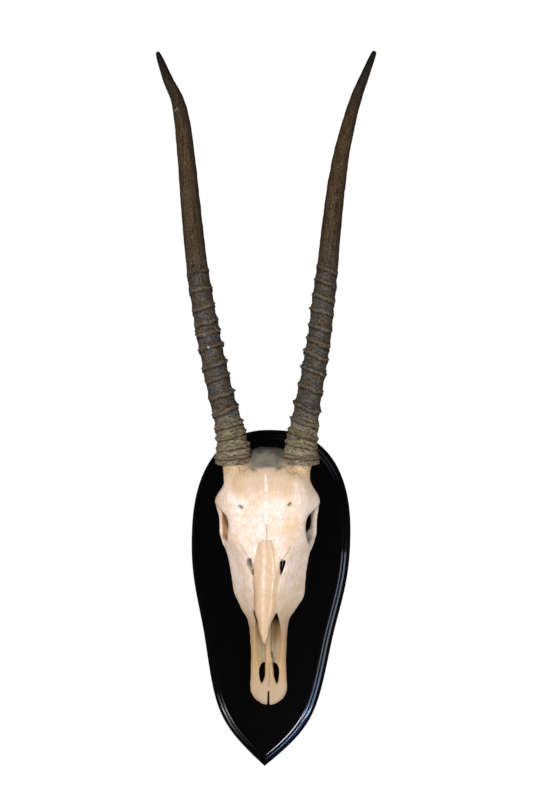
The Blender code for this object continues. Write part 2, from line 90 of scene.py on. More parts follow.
camera = bpy.data.objects.new("camera", bpy.data.cameras.new("camera"))
camera.data.sensor_width = SENSOR
camera.data.lens = LENS
level = Matrix.Rotation(CAMERA_TURN, 4, "Z") @ Matrix.Rotation(pi / 2, 4, "X")
camera.matrix_world = Matrix.Translation(at(*CAMERA_PLACE)) @ level @ Matrix.Rotation(CAMERA_ROLL, 4, "Z")
bpy.context.scene.collection.objects.link(camera)
bpy.context.scene.camera = camera
bpy.context.scene.view_settings.view_transform = "Standard"
print("camera in front of the wall by", CAMERA_PLACE[1], "mm")


# %% [markdown]
# ## Colour and nodes
#
# Colours are given as sRGB hex values, but Cycles works in linear light, so one function turns them.
# A material is a chain of nodes, and one function adds any of them: it fills the sockets by their
# identifiers, links those that are given another node's output, and hands back the new node's output.

# %% Colour and node helpers
def hex_colour(code):
    """An sRGB hex colour as linear RGBA."""
    channels = [int(code[i:i + 2], 16) / 255 for i in (1, 3, 5)]
    return tuple(c / 12.92 if c <= 0.04045 else ((c + 0.055) / 1.055)**2.4 for c in channels) + (1.0,)


def add_node(tree, kind, fill, out=None, **options):
    """Adds a node, fills or links its sockets, and returns the named output or the first one in use."""
    made = tree.nodes.new(kind)
    for name, value in options.items():
        setattr(made, name, value)
    sockets = {socket.identifier: socket for socket in made.inputs}
    for name, value in fill.items():
        if isinstance(value, bpy.types.NodeSocket):
            tree.links.new(value, sockets[name])
        else:
            sockets[name].default_value = value
    if not made.outputs:
        return made
    return made.outputs[out] if out else next(socket for socket in made.outputs if socket.enabled)


def empty_material(name):
    """A material with no nodes yet, and its tree."""
    material = bpy.data.materials.new(name)
    material.use_nodes = True
    material.node_tree.nodes.clear()
    return material, material.node_tree


def mesh_object(bm, name, material, smooth_angle=None):
    """Turns a bmesh into an object at the origin. With no angle every edge is shaded smooth."""
    mesh = bpy.data.meshes.new(name)
    bm.to_mesh(mesh)
    bm.free()
    mesh.shade_smooth()
    if smooth_angle is not None:
        mesh.set_sharp_from_angle(angle=radians(smooth_angle))
    if material:
        mesh.materials.append(material)
    made = bpy.data.objects.new(name, mesh)
    bpy.context.scene.collection.objects.link(made)
    return made


# %% [markdown]
# ## Studio
#
# Behind the object the photograph is pure white, so the sky is white to the camera alone. Large soft lamps
# light the object. A black polished board is a mirror that the photograph shows nearly black, so a lamp
# near the camera would spoil it. The matt surfaces therefore have lamps of their own, which no polish shows:
# a key nearly in front, a fill on each side and one from below. The polish has others, which light nothing
# else. They stand at the sides and low down, where the slopes of the moulding face: on each side a dim wide
# window with a brighter bar in it, a blue one for the tip, and one above for the top edge. The last lamp
# gives the nasal bones their gleam. One set of lamps for all would be simpler, but couldn't do both.

# %% Floor and sky
FLOOR_DROP = 2100.0
FLOOR_SIZE = 11.0
SKY_FILL = 0.02
WHITE = (1.0, 1.0, 1.0, 1.0)

pale_paint, paint_nodes = empty_material("pale studio paint")
paint = add_node(paint_nodes, "ShaderNodeBsdfPrincipled", {
    "Base Color": hex_colour("#EDEDEB"), "Roughness": 0.9, "Emission Color": hex_colour("#EDEDEB"),
    "Emission Strength": 0.85})
add_node(paint_nodes, "ShaderNodeOutputMaterial", {"Surface": paint})
tile = bmesh.new()
bmesh.ops.create_grid(tile, x_segments=1, y_segments=1, size=FLOOR_SIZE / 2)
bmesh.ops.translate(tile, verts=tile.verts, vec=at(0, 0, -FLOOR_DROP))
studio_floor = mesh_object(tile, "studio_floor", pale_paint)
studio_floor.visible_diffuse = False
studio_floor.visible_glossy = False

sky = bpy.data.worlds.new("studio sky")
sky.use_nodes = True
sky.node_tree.nodes.clear()
seen = add_node(sky.node_tree, "ShaderNodeLightPath", {}, out="Is Camera Ray")
glow = add_node(sky.node_tree, "ShaderNodeMapRange", {"Value": seen, "To Min": SKY_FILL, "To Max": 1.0})
backing = add_node(sky.node_tree, "ShaderNodeBackground", {"Color": WHITE, "Strength": glow})
add_node(sky.node_tree, "ShaderNodeOutputWorld", {"Surface": backing})
bpy.context.scene.world = sky
print("floor", FLOOR_DROP, "mm below the board's middle")

# %% Lamps
# Each lamp: direction from the object (degrees to the right, degrees up), distance in metres, width and
# height in metres, power in watts, colour, and what it lights: "matt" is all but the mirror of a polish,
# "shine" is the mirror of any polish, and "board" is the mirror of the black board alone.
LAMP_AIM = at(0, 80, 60)
LAMPS = {
    "key_in_front": (-6, 9, 1.7, (0.8, 0.8), 20, "#FFFFFF", "matt"),
    "low_fill": (6, -32, 2.6, (1.2, 1.2), 17, "#FFFCFA", "matt"),
    "left_fill": (-54, 0, 2.4, (1.2, 1.2), 33, "#FFF8F6", "matt"),
    "right_fill": (60, -19, 2.6, (1.7, 0.8), 36, "#FFFCFA", "matt"),
    "right_window": (60, -22, 2.6, (1.7, 1.2), 22, "#D4E0F2", "board"),
    "right_window_bar": (60, -22, 2.6, (1.7, 0.2), 10, "#F4F8FF", "board"),
    "left_window": (-58, -40, 2.6, (1.6, 0.8), 7, "#FFFFFF", "board"),
    "left_window_bar": (-58, -38, 2.6, (1.6, 0.16), 5, "#FFFFFF", "board"),
    "blue_window": (60, -41, 2.6, (1.8, 1.5), 36, "#2F66B4", "board"),
    "blue_window_bar": (60, -38, 2.6, (1.8, 0.18), 20, "#C0DAFF", "board"),
    "top_window": (35, 36, 2.6, (2.6, 1.8), 8, "#C8D4E8", "board"),
    "low_spot": (20, -34, 2.6, (0.4, 0.6), 18, "#FFFFFF", "shine"),
}


def add_lamp(name, right, up, distance, size, watts, colour, lights):
    data = bpy.data.lights.new(name, "AREA")
    data.shape = "RECTANGLE"
    data.size, data.size_y = size
    data.energy = watts
    data.color = hex_colour(colour)[:3]
    lamp = bpy.data.objects.new(name, data)
    right, up = radians(right), radians(up)
    way = Vector((sin(right) * cos(up), -cos(right) * cos(up), sin(up)))
    lamp.location = LAMP_AIM + way * distance
    lamp.rotation_euler = (-way).to_track_quat("-Z", "Y").to_euler()
    lamp.visible_diffuse = lights == "matt"
    lamp.visible_glossy = lights != "matt"
    lamp.visible_camera = False
    if lights == "board":
        lamp.light_linking.receiver_collection = board_alone
    bpy.context.scene.collection.objects.link(lamp)


board_alone = bpy.data.collections.new("polished board")
for name, settings in LAMPS.items():
    add_lamp(name, *settings)
print("lamps:", ", ".join(LAMPS))


# %% [markdown]
# ## The board
#
# The board is one piece of hardwood, sawn to a shield and run round with a router: a rounded outer edge, a
# bead, a narrow groove and a cove up to the flat field. It was stained black and polished until it shines.
# The edge could be a curve with a bevel profile, but that is uneven at the tip. Here the outline is worked
# out afresh for each step of the moulding, a little smaller each time, and one loft runs through them all.
# The two sides are cut off where they meet on the midline, so the mitre at the tip stays sharp.

# %% The board's outline
BOARD_HALF_WIDTH = 126.3
BOARD_TOP = 173.0
BOARD_TOP_SQUARENESS = 2.4
BOARD_WAIST = (99.9, -166.7)
BOARD_TIP = (0.0, -361.6)
BOARD_UPPER_PULLS = ((126.3, -71.4), (110.8, -106.4))
BOARD_LOWER_PULLS = ((80.8, -274.7), (77.6, -295.2))
BOARD_TOP_STEPS = 110
BOARD_SIDE_STEPS = 80
BOARD_HALF_POINTS = 170


def bezier(p0, p1, p2, p3, t):
    return [(1 - t)**3 * a + 3 * (1 - t)**2 * t * b + 3 * (1 - t) * t**2 * c + t**3 * d
            for a, b, c, d in zip(p0, p1, p2, p3)]


def half_outline():
    """Close-set points on the right half of the outline, from the top middle down to the tip."""
    half = [(0.0, BOARD_TOP)]
    power = 2 / BOARD_TOP_SQUARENESS
    for i in range(1, BOARD_TOP_STEPS):
        turn = pi / 2 * (1 - i / BOARD_TOP_STEPS)
        half.append((BOARD_HALF_WIDTH * cos(turn)**power, BOARD_TOP * sin(turn)**power))
    upper_side = ((BOARD_HALF_WIDTH, 0.0), *BOARD_UPPER_PULLS, BOARD_WAIST)
    lower_side = (BOARD_WAIST, *BOARD_LOWER_PULLS, BOARD_TIP)
    for side in (upper_side, lower_side):
        for i in range(BOARD_SIDE_STEPS):
            half.append(tuple(bezier(*side, i / BOARD_SIDE_STEPS)))
    return np.array(half + [BOARD_TIP])


def inset_outline(inset):
    """The whole outline moved in by a distance. Its two sides meet again on the midline, as at a mitre."""
    half = half_outline()
    run = np.gradient(half, axis=0)
    run[0] = (1, 0)
    run /= np.linalg.norm(run, axis=1)[:, None]
    half = half + inset * np.stack([run[:, 1], -run[:, 0]], 1)
    last = np.flatnonzero(half[:, 0] > 0)[-1]
    meeting = last + half[last, 0] / (half[last, 0] - half[last + 1, 0])
    places = np.linspace(0, meeting, BOARD_HALF_POINTS)
    half = np.stack([np.interp(places, np.arange(len(half)), half[:, axis]) for axis in (0, 1)], 1)
    return [tuple(point) for point in half] + [(-x, z) for x, z in half[-2:0:-1]]


# A place on a curve is counted a hair short, so that the last one still lies on the last stretch.
NEARLY = 0.999999


def smooth_through(points, u, closed=False):
    """The point at u, counted in points, on a smooth curve through them all."""
    count = len(points)
    i = min(int(u), count - 1 if closed else count - 2)
    t = u - i
    near = []
    for k in range(i - 1, i + 3):
        near.append(Vector(points[k % count] if closed else points[max(0, min(count - 1, k))]))
    a, b, c, d = near
    return 0.5 * (2 * b + (c - a) * t + (2 * a - 5 * b + 4 * c - d) * t**2 + (3 * b - a - 3 * c + d) * t**3)


print("outline points:", len(inset_outline(0)))

# %% The board's moulding
# The section of the moulding, as (distance in from the edge, depth), from the side wall to the flat field.
MOULDING = (
    (0, 4), (0.4, 5.4), (2.2, 9), (3.6, 11.5), (4.4, 12.6), (5, 13.25), (5.8, 13.95), (6.8, 14.6),
    (7.8, 15.15), (8.6, 15.5), (9.3, 15.6), (9.7, 15.5), (10, 16.2), (10.5, 17.3), (11.2, 18.3),
    (12, 18.9), (13, 19.4), (14.2, 19.75), (15.4, 19.95), (16.5, 20))
MOULDING_CUTS = 3
BOARD_FIELD = MOULDING[-1][1]
BACK_ROUNDING = ((0.8, 0), (0.24, 0.24), (0, 0.8))
SCREW_HEIGHTS = {"upper": 108.0, "lower": 94.0}
SCREW_HEAD_RADIUS = 4.5
SCREW_SHANK_RADIUS = 2.2
SCREW_RECESS = 4.0
SCREW_HEAD_HEIGHT = 3.0
SCREW_CLEARANCE = 0.4
# Bores, as (from, to, radius): for the heads, and then for the shanks. Both are cut past the wood.
SCREW_BORES = (
    (-2, SCREW_RECESS + SCREW_HEAD_HEIGHT, SCREW_HEAD_RADIUS + SCREW_CLEARANCE),
    (2, BOARD_FIELD + 5, SCREW_SHANK_RADIUS + SCREW_CLEARANCE))
SKULL_LEAN = radians(-1.3)
LEAN_PIVOT = at(0, 0, -70)

to_pivot = Matrix.Translation(LEAN_PIVOT)
skull_lean = to_pivot @ Matrix.Rotation(SKULL_LEAN, 4, "Y") @ to_pivot.inverted()
print("moulding:", MOULDING[-1][0], "mm wide, field at", BOARD_FIELD, "mm")


# %% Body helpers
def drum(bm, across, height, start, end, radius, sides=48):
    """A round bar that runs straight out from the wall."""
    turn = Matrix.Rotation(pi / 2, 4, "X")
    place = Matrix.Translation(at(across, (start + end) / 2, height))
    bmesh.ops.create_cone(bm, cap_ends=True, segments=sides, radius1=radius * MM, radius2=radius * MM,
                          depth=(end - start) * MM, matrix=place @ turn)


def loft(bm, rings):
    """A closed body through rings of equally many points: a cap that is extruded from ring to ring."""
    made = bmesh.ops.create_circle(bm, cap_ends=True, segments=len(rings[0]), radius=MM)
    cap = made["verts"][0].link_faces[0]
    verts = set()
    for number, ring in enumerate(rings):
        if number:
            region = [cap, *cap.edges, *cap.verts] if number > 1 else [cap]
            grown = bmesh.ops.extrude_face_region(bm, geom=region)["geom"]
            cap = next(part for part in grown if isinstance(part, bmesh.types.BMFace))
        for vert, point in zip(cap.verts, ring):
            vert.co = point
        verts.update(cap.verts)
    bmesh.ops.recalc_face_normals(bm, faces=list({face for vert in verts for face in vert.link_faces}))


def settle(piece):
    """Applies a piece's modifiers to its mesh."""
    graph = bpy.context.evaluated_depsgraph_get()
    done = bpy.data.meshes.new_from_object(piece.evaluated_get(graph))
    piece.modifiers.clear()
    old = piece.data
    piece.data = done
    bpy.data.meshes.remove(old)


def combine(piece, other, operation, own_overlaps=False):
    """Cuts the other shape out of a piece, or joins it on."""
    step = piece.modifiers.new(operation.lower(), "BOOLEAN")
    step.operation = operation
    step.solver = "EXACT"
    step.use_self = own_overlaps
    step.object = other
    settle(piece)
    bpy.data.objects.remove(other, do_unlink=True)


# %% Make the board
def make_board(material):
    bm = bmesh.new()
    steps = (len(MOULDING) - 1) * MOULDING_CUTS
    section = [*BACK_ROUNDING]
    section += [smooth_through(MOULDING, n / MOULDING_CUTS * NEARLY) for n in range(steps + 1)]
    loft(bm, [[at(x, depth, z) for x, z in inset_outline(inset)] for inset, depth in section])
    board = mesh_object(bm, "polished_board", material)
    for start, end, radius in SCREW_BORES:
        bores = bmesh.new()
        for height in SCREW_HEIGHTS.values():
            centre = skull_lean @ at(0, 0, height) / MM
            drum(bores, centre.x, centre.z, start, end, radius)
        combine(board, mesh_object(bores, "screw_bores", None), "DIFFERENCE")
    board.data.shade_smooth()
    board.data.set_sharp_from_angle(angle=radians(28))
    return board


# %% [markdown]
# ## Ebonised hardwood, polished
#
# The wood is stained black and then polished with many thin coats of shellac. Almost no grain shows, so the
# colour is near black with a little brown along the grain, and the look comes from the clear coat: a sharp
# reflection with the faintest waves, since hand-rubbed polish is never quite flat.

# %% Patterns and coats of colour
def noise_patterns(tree, place, table):
    """Noise patterns by name from a table of (size in mm, stretch along the height, detail)."""
    made = {}
    for name, (size, stretch, detail) in table.items():
        drawn = add_node(tree, "ShaderNodeMapping", {"Vector": place, "Scale": (1, 1, stretch)})
        settings = {"Vector": drawn, "Scale": 1 / (size * MM), "Detail": detail}
        made[name] = add_node(tree, "ShaderNodeTexNoise", settings)
    return made


def kept_masks(tree, names):
    """The attributes that the shaping of a piece left on its points, ready for a material."""
    return {name: add_node(tree, "ShaderNodeAttribute", {}, out="Fac", attribute_name=name) for name in names}


def lay_coats(tree, tone, sources, coats):
    """Lays coats of colour over a tone. A coat is its colour, its strength, and the sources that it follows.

    A source is a name, or a name with the two values where it starts and ends, and where it needs them the
    two strengths there."""
    for colour, strength, *follows in coats:
        share = strength
        for name, *span in follows:
            value = sources[name]
            if span:
                ends = dict(zip(("From Min", "From Max", "To Min", "To Max"), span))
                value = add_node(tree, "ShaderNodeMapRange", {"Value": value, **ends})
            factors = {"Value": value, "Value_001": share}
            share = add_node(tree, "ShaderNodeMath", factors, operation="MULTIPLY")
        colours = {"A_Color": tone, "B_Color": hex_colour(colour) if isinstance(colour, str) else colour}
        tone = add_node(tree, "ShaderNodeMix", {"Factor_Float": share, **colours}, data_type="RGBA")
    return tone


# %% Ebonised wood
# Name: (size in mm, stretch along the height, detail). The rubbing leaves waves about a hand's width long.
WOOD_PATTERNS = {"grain": (1.2, 0.06, 4), "rubbed_wave": (60, 1, 2)}


def make_ebonised_wood():
    material, tree = empty_material("ebonised hardwood")
    place = add_node(tree, "ShaderNodeTexCoord", {}, out="Object")
    patterns = noise_patterns(tree, place, WOOD_PATTERNS)
    tone = lay_coats(tree, hex_colour("#010101"), patterns, [("#040303", 1.0, ("grain",))])
    rough = add_node(tree, "ShaderNodeMapRange", {"Value": patterns["grain"], "To Min": 0.2, "To Max": 0.3})
    ripple = add_node(tree, "ShaderNodeBump", {
        "Height": patterns["rubbed_wave"], "Strength": 0.15, "Distance": 0.4 * MM})
    shader = add_node(tree, "ShaderNodeBsdfPrincipled", {
        "Base Color": tone, "Roughness": rough, "Specular IOR Level": 0.08, "Coat Weight": 1.0,
        "Coat Roughness": 0.06, "Normal": ripple, "Coat Normal": ripple})
    add_node(tree, "ShaderNodeOutputMaterial", {"Surface": shader})
    return material


polished_board = make_board(make_ebonised_wood())
board_alone.objects.link(polished_board)
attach(polished_board, "root")
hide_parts("plaque")
print("board faces:", len(polished_board.data.polygons))


# %% [markdown]
# ## The skull's main form
#
# A skull is thin bone folded round hollows, with hardly a straight line in it. Sculpting by hand would give
# it, but code has to build it from shapes it can name. The way chosen is the one a modeller in clay uses:
# simple bodies are pressed together, the muzzle as a loft through level sections, bars along curves for the
# rims and cheek arches, round lumps for the ear region, and one even skin is drawn over them all by a voxel
# remesh. Then the hollows are cut, and the thin nasal bones are laid over the opening.

# %% Sizes of the skull
# Each level is (height, front, shoulder, widest, behind, corner, back). Front and back are depths on the
# midline, and the four between them are (across, depth) points down the side.
BODY_SIDES = 40
BODY_CUTS = 3
BODY = (
    (148, 96, (8, 94), (14, 90), (14, 82), (8, 76), 74),
    (144.5, 112, (18, 109), (25, 98), (26, 84), (18, 72), 64),
    (138, 123, (26, 119), (35, 102), (38, 84), (28, 62), 54),
    (128, 133, (36, 129), (50, 112), (46, 88), (38, 57), 46),
    (118, 140.5, (42, 136), (58, 118), (48, 92), (42, 58), 42),
    (105, 146, (46, 142), (63, 118), (52, 92), (45, 60), 38),
    (90, 147.5, (48, 143), (68.2, 116), (56, 94), (46, 62), 37),
    (76, 147, (50, 142), (77, 108), (64, 92), (45, 64), 38),
    (62, 146, (50, 139.5), (79, 103), (62, 88), (42, 66), 40),
    (46, 143, (47, 137), (62, 118), (54, 86), (36, 64), 44),
    (30, 139.5, (43, 133), (58, 116), (50, 80), (32, 60), 46),
    (10, 135, (41, 127), (60, 108), (56, 74), (40, 54), 48),
    (-8, 131, (37, 122.5), (64, 84), (60, 64), (44, 48), 46),
    (-22, 128, (32, 120), (61, 77), (57, 60), (44, 46), 44),
    (-45, 122, (28, 113.5), (57.8, 69), (53, 54), (42, 44), 42),
    (-64, 116.5, (25, 108.5), (56.2, 64), (50, 52), (40, 43), 42),
    (-79, 112, (23, 104), (55, 60), (50, 50), (38, 43), 42),
    (-88, 109, (21, 100.5), (52.6, 60), (46, 50), (34, 42), 41),
    (-97, 106, (20, 97), (47.2, 62), (40, 52), (30, 41), 40),
    (-108, 100, (19, 91), (40, 62), (33, 50), (27, 40), 38),
    (-122, 86, (20, 81), (31.5, 60), (30, 48), (24, 38), 36),
    (-147, 68, (20, 65), (28.5, 52), (27, 42), (21, 34), 32),
    (-178, 52, (20, 51), (27.2, 44), (26, 37), (20, 31), 29),
    (-208, 43, (20, 43), (27.7, 39), (27, 34), (20, 29), 28),
    (-232, 39, (20, 39), (28.7, 36), (28, 32), (20, 28), 27),
    (-244, 37.5, (16, 37.5), (25, 34), (25, 31), (16, 28), 28),
    (-252, 36.5, (12, 36), (18.5, 33), (18.5, 31), (12, 28.5), 28.5),
    (-258, 34.5, (5, 34), (9, 32.5), (9, 31.5), (5, 30), 30),
)
print("levels in the skull's main body:", len(BODY))

# %% Clay helpers
def oval_ring(centre, u, v, sides):
    return [centre + u * cos(2 * pi * i / sides) + v * sin(2 * pi * i / sides) for i in range(sides)]


def box_ring(across, half, front, back, height, sides=12):
    """A level section with flat sides and rounded corners."""
    ring = []
    for i in range(sides):
        turn = 2 * pi * (i + 0.5) / sides
        c = max(-1.0, min(1.0, 1.25 * cos(turn)))
        s = max(-1.0, min(1.0, 1.25 * sin(turn)))
        ring.append(at(across + half * c, (front + back) / 2 + (front - back) / 2 * s, height))
    return ring


def bar_along(bm, points, half_u, half_v, sides=10, steps=4, closed=False):
    """A bar of oval section along a smooth curve. half_u is level across the curve, half_v square to it."""
    spans = len(points) if closed else len(points) - 1
    rings = []
    for n in range(spans * steps + 1):
        u = n / steps
        here = smooth_through(points, min(u, spans - 1e-6), closed)
        ahead = smooth_through(points, min(u + 0.05, spans - 1e-6), closed)
        behind = smooth_through(points, max(u - 0.05, 0), closed)
        run = (at(*ahead) - at(*behind)).normalized()
        side = run.cross(Vector((0, 1, 0)))
        side = side.normalized() if side.length > 0.2 else run.cross(Vector((0, 0, 1))).normalized()
        rings.append(oval_ring(at(*here), side * half_u * MM, run.cross(side) * half_v * MM, sides))
    loft(bm, rings)


def lump(bm, centre, radii, sides=24):
    size = Matrix.Diagonal((*(Vector(radii) * MM), 1))
    place = Matrix.Translation(at(*centre))
    bmesh.ops.create_uvsphere(bm, u_segments=sides, v_segments=sides // 2, radius=1, matrix=place @ size)


def rod(bm, start, end, radius, far_radius=None, sides=24):
    start, end = at(*start), at(*end)
    turn = (end - start).to_track_quat("Z", "Y").to_matrix().to_4x4()
    far = radius if far_radius is None else far_radius
    bmesh.ops.create_cone(bm, cap_ends=True, segments=sides, radius1=radius * MM, radius2=far * MM,
                          depth=(end - start).length, matrix=Matrix.Translation((start + end) / 2) @ turn)


def even_skin(piece, voxel):
    """Melts overlapping bodies into one skin."""
    step = piece.modifiers.new("one skin", "REMESH")
    step.mode = "VOXEL"
    step.voxel_size = voxel * MM
    step.adaptivity = 0.0
    settle(piece)


# %% Sizes of the sides and the base
# The rim of the eye socket and the cheek arch are bars along curves through (across, depth, height).
ORBIT_RIM = ((53.2, 115.5, 30), (56, 113.5, 46), (66, 106, 58), (73, 96, 62), (73.5, 82, 54),
             (70.5, 72, 38), (69.5, 66, 14), (62.5, 82, -4), (55.5, 105, 6))
ORBIT_RIM_HALF = (4.6, 4.6)
CHEEK_ARCH = (
    (54, 62, -26), (64, 60, -6), (69.5, 60, 14), (70, 60, 36), (66, 58, 62), (58, 60, 84), (44, 64, 98))
CHEEK_ARCH_HALF = (4.5, 8.0)
PALATE_WING = ((20, 72, 2), (18, 60, 22), (15, 52, 44), (14, 60, 66))
PALATE_WING_HALF = (3.0, 9.0)
EAR_PROCESS = ((34, 58, 112), (36, 44, 112), (35, 30, 106))
EAR_PROCESS_HALF = (4.5, 6.0)
# Lumps at the back: a centre and three radii.
CONDYLE = (15, 38, 130, 9, 13, 11)
EAR_BULLA = (27, 48, 88, 9, 13, 13)
# The wall on the outer side of the eye socket: (height, across, half width, front, back).
SOCKET_WALL = (
    (-20, 54, 8, 70, 52), (0, 61, 9.5, 68, 50), (14, 65.5, 9, 68, 48), (22, 69.4, 5.2, 68, 48),
    (34, 70.2, 4.4, 68, 48), (46, 69.6, 4.4, 69, 49), (55, 65.5, 8.5, 72, 50), (66, 60, 12, 76, 52))
SOCKET_WALL_EXTRA = {"left": 1.6, "right": 0.3}
# Base of the skull: (height, half width, front, back). It reaches the board at its widest.
BASE = (
    (14, 10, 92, 60), (40, 13, 96, 52), (70, 17, 100, 40), (92, 21, 96, 17), (112, 22, 92, 17),
    (128, 17, 84, 26), (138, 10, 76, 40))
# Cheek teeth: the lengths of the six teeth along the row, from the front, and then the shape of one, as
# (share of its length, share of its half width).
TEETH = (10, 12, 13, 17, 19, 20)
TOOTH_SHAPE = ((0.04, 0.7), (0.2, 0.97), (0.5, 1.0), (0.8, 0.97), (0.96, 0.7))
TEETH_START = -84.0
TEETH_ACROSS = 33.0
TEETH_HALF_WIDTH = 7.5
TEETH_DEPTHS = (52.0, 16.0)
# Horn stumps: a short thick foot and a longer core that goes up into the sheath.
PEDICLE_RADIUS = {"left": 17.2, "right": 15.0}
PEDICLE_REACH = (-34, 4)
CORE_RADIUS = 17.0
CORE_LENGTH = 22
CORE_TAPER = 4
# Horns: the centre line as (across, depth, height), listed from the base to the tip.
HORN_LINES = {
    "left": (
        (-51.0, 122.0, 119.0), (-54.2, 123.3, 153.6), (-60.3, 124.6, 187.0), (-69.5, 126.0, 222.0),
        (-80.2, 127.5, 268.0), (-90.5, 128.6, 317.0), (-99.0, 129.2, 365.0), (-107.0, 129.2, 413.0),
        (-118.0, 127.2, 510.0), (-125.2, 124.1, 583.0), (-132.3, 120.9, 640.0), (-140.2, 118.9, 675.0),
        (-154.6, 116.8, 706.0), (-171.5, 114.0, 749.5)),
    "right": (
        (49.8, 122.0, 119.0), (51.4, 123.3, 154.0), (56.0, 124.6, 187.0), (61.6, 126.0, 222.0),
        (69.8, 127.5, 269.0), (77.2, 128.6, 317.0), (82.5, 129.2, 365.0), (88.2, 129.2, 414.0),
        (97.6, 127.2, 510.0), (107.5, 124.1, 583.0), (120.2, 120.9, 640.0), (130.7, 118.9, 677.0),
        (142.0, 116.8, 707.0), (158.5, 114.0, 749.0)),
}
print("horns from", HORN_LINES["left"][0][2], "to", HORN_LINES["left"][-1][2], "mm above the middle")


# %% Skull bodies
def body_ring(n):
    """The skull's section at a place counted in levels: a smooth closed curve, even on both sides."""
    levels = [(height, front, *a, *b, *c, *d, back) for height, front, a, b, c, d, back in BODY]
    height, front, *points, back = smooth_through(levels, n)
    half = [(0, front), *zip(points[::2], points[1::2]), (0, back)]
    loop = [(x, depth, height) for x, depth in half]
    loop += [(-x, depth, height) for x, depth in reversed(half[1:-1])]
    return [at(*smooth_through(loop, len(loop) * i / BODY_SIDES, closed=True)) for i in range(BODY_SIDES)]


def add_teeth(bm, side):
    """One row of cheek teeth: a single loft that narrows between the teeth."""
    start = TEETH_START
    rings = []
    for length in TEETH:
        for share, width in TOOTH_SHAPE:
            half = TEETH_HALF_WIDTH * width
            rings.append(box_ring(side * TEETH_ACROSS, half, *TEETH_DEPTHS, start + length * share))
        start += length
    loft(bm, rings)


def add_skull_side(bm, side):
    """What the skull has on each side: socket, cheek arch, palate wing, ear region, horn stump and teeth."""
    def mirrored(points):
        return [(side * x, depth, z) for x, depth, z in points]
    bar_along(bm, mirrored(ORBIT_RIM), *ORBIT_RIM_HALF, closed=True)
    bar_along(bm, mirrored(CHEEK_ARCH), *CHEEK_ARCH_HALF)
    bar_along(bm, mirrored(PALATE_WING), *PALATE_WING_HALF)
    bar_along(bm, mirrored(EAR_PROCESS), *EAR_PROCESS_HALF)
    for x, depth, z, *radii in (CONDYLE, EAR_BULLA):
        lump(bm, (side * x, depth, z), radii)
    name = "left" if side < 0 else "right"
    extra = SOCKET_WALL_EXTRA[name]
    wall = [(side * (x - extra), half + extra, front, back, z) for z, x, half, front, back in SOCKET_WALL]
    loft(bm, [box_ring(*level) for level in wall])
    base, above = (Vector(point) for point in HORN_LINES[name][:2])
    run = (above - base).normalized()
    start, end = PEDICLE_REACH
    rod(bm, base + run * start, base + run * end, PEDICLE_RADIUS[name], PEDICLE_RADIUS[name])
    rod(bm, base, base + run * CORE_LENGTH, CORE_RADIUS, CORE_RADIUS - CORE_TAPER)
    add_teeth(bm, side)


def skull_form():
    bm = bmesh.new()
    steps = (len(BODY) - 1) * BODY_CUTS
    loft(bm, [body_ring(n / BODY_CUTS * NEARLY) for n in range(steps + 1)])
    loft(bm, [box_ring(0, half, front, back, z) for z, half, front, back in BASE])
    for side in (-1, 1):
        add_skull_side(bm, side)
    return mesh_object(bm, "bleached_skull", None)


# %% [markdown]
# ## Openings and thin bones
#
# A dry skull is full of openings: the sockets, the nose, the slots in the palate, the small ones beside the
# nasal bones and the one for the spinal cord. All are cut out in one go, as bodies that overlap and are first
# melted into one. The nasal bones and the vomer are thinner than the skin could keep, so they are made
# apart and joined on after the cut.

# %% Sizes of the openings
# The cavity under the nasal bones: (height, half width, front, back).
NASAL_CAVITY = (
    (-62, 7, 82, 66), (-80, 12, 90, 62), (-97, 15.5, 96, 58), (-107, 16.5, 99, 54), (-116, 17, 95, 52))
# The open trough below it: (height, half width on the left, on the right, depth of the rim, of the floor).
NASAL_TROUGH = (
    (-105, 18.2, 14, 100, 55), (-109, 19.6, 15.5, 96, 53), (-114, 19.8, 17.2, 91, 51),
    (-125, 20.4, 19, 80, 47), (-147, 21.5, 21.5, 64, 43), (-165, 21, 21, 56, 40.5),
    (-185, 18.5, 18.5, 49.5, 39.5), (-200, 14, 14, 45, 39.5), (-212, 8, 8, 42.5, 40.5))
# The trough's section: (share of the half width, share of the way from the floor to the rim).
TROUGH_SECTION = ((0.35, 0.04), (0.66, 0.25), (0.86, 0.6), (1.0, 1.0))
TROUGH_FRONT = 140
# Palatine slots, which go right through: (height, distance from their middle line, half width).
SLOT_MIDDLE = 1.2
PALATINE_SLOT = (
    (-190.5, 6.8, 1.2), (-193, 8.6, 4.2), (-199, 10.0, 5.6), (-208, 10.8, 5.0), (-216, 11.4, 3.2),
    (-222, 12, 1.7), (-225.5, 12.3, 0.8))
# The slit in the tip of the muzzle: (height, half width).
TIP_SLIT = ((-226, 0.5), (-240, 1.3), (-262, 2.0))
MUZZLE_CUT = (60, 15)
# Openings beside the nasal bones: (height, across, half width).
LACRIMAL_SLOTS = (
    ((-19, -27, 1.4), (-23, -26.2, 3.4), (-31, -25, 3.6), (-38, -23.4, 2.4), (-48, -22.4, 1.0),
     (-58, -21.8, 0.6)),
    ((-20, 24.5, 1.5), (-23.5, 23.6, 4.4), (-30, 22.8, 3.8), (-38, 21.2, 2.6), (-46, 19.8, 1.2),
     (-54, 19.2, 0.6)))
LACRIMAL_CUT = (140, 66)
ORBIT_CENTRE = (68, 95, 29)
ORBIT_RADII = (28, 20, 27)
SPINAL_OPENING = ((0, 50, 150), (0, 62, 118))
SPINAL_OPENING_RADIUS = 10
THIN_VOXEL = 1.2
print("openings: nose, two palate slots, tip slit,", len(LACRIMAL_SLOTS), "tear openings, sockets, spine")


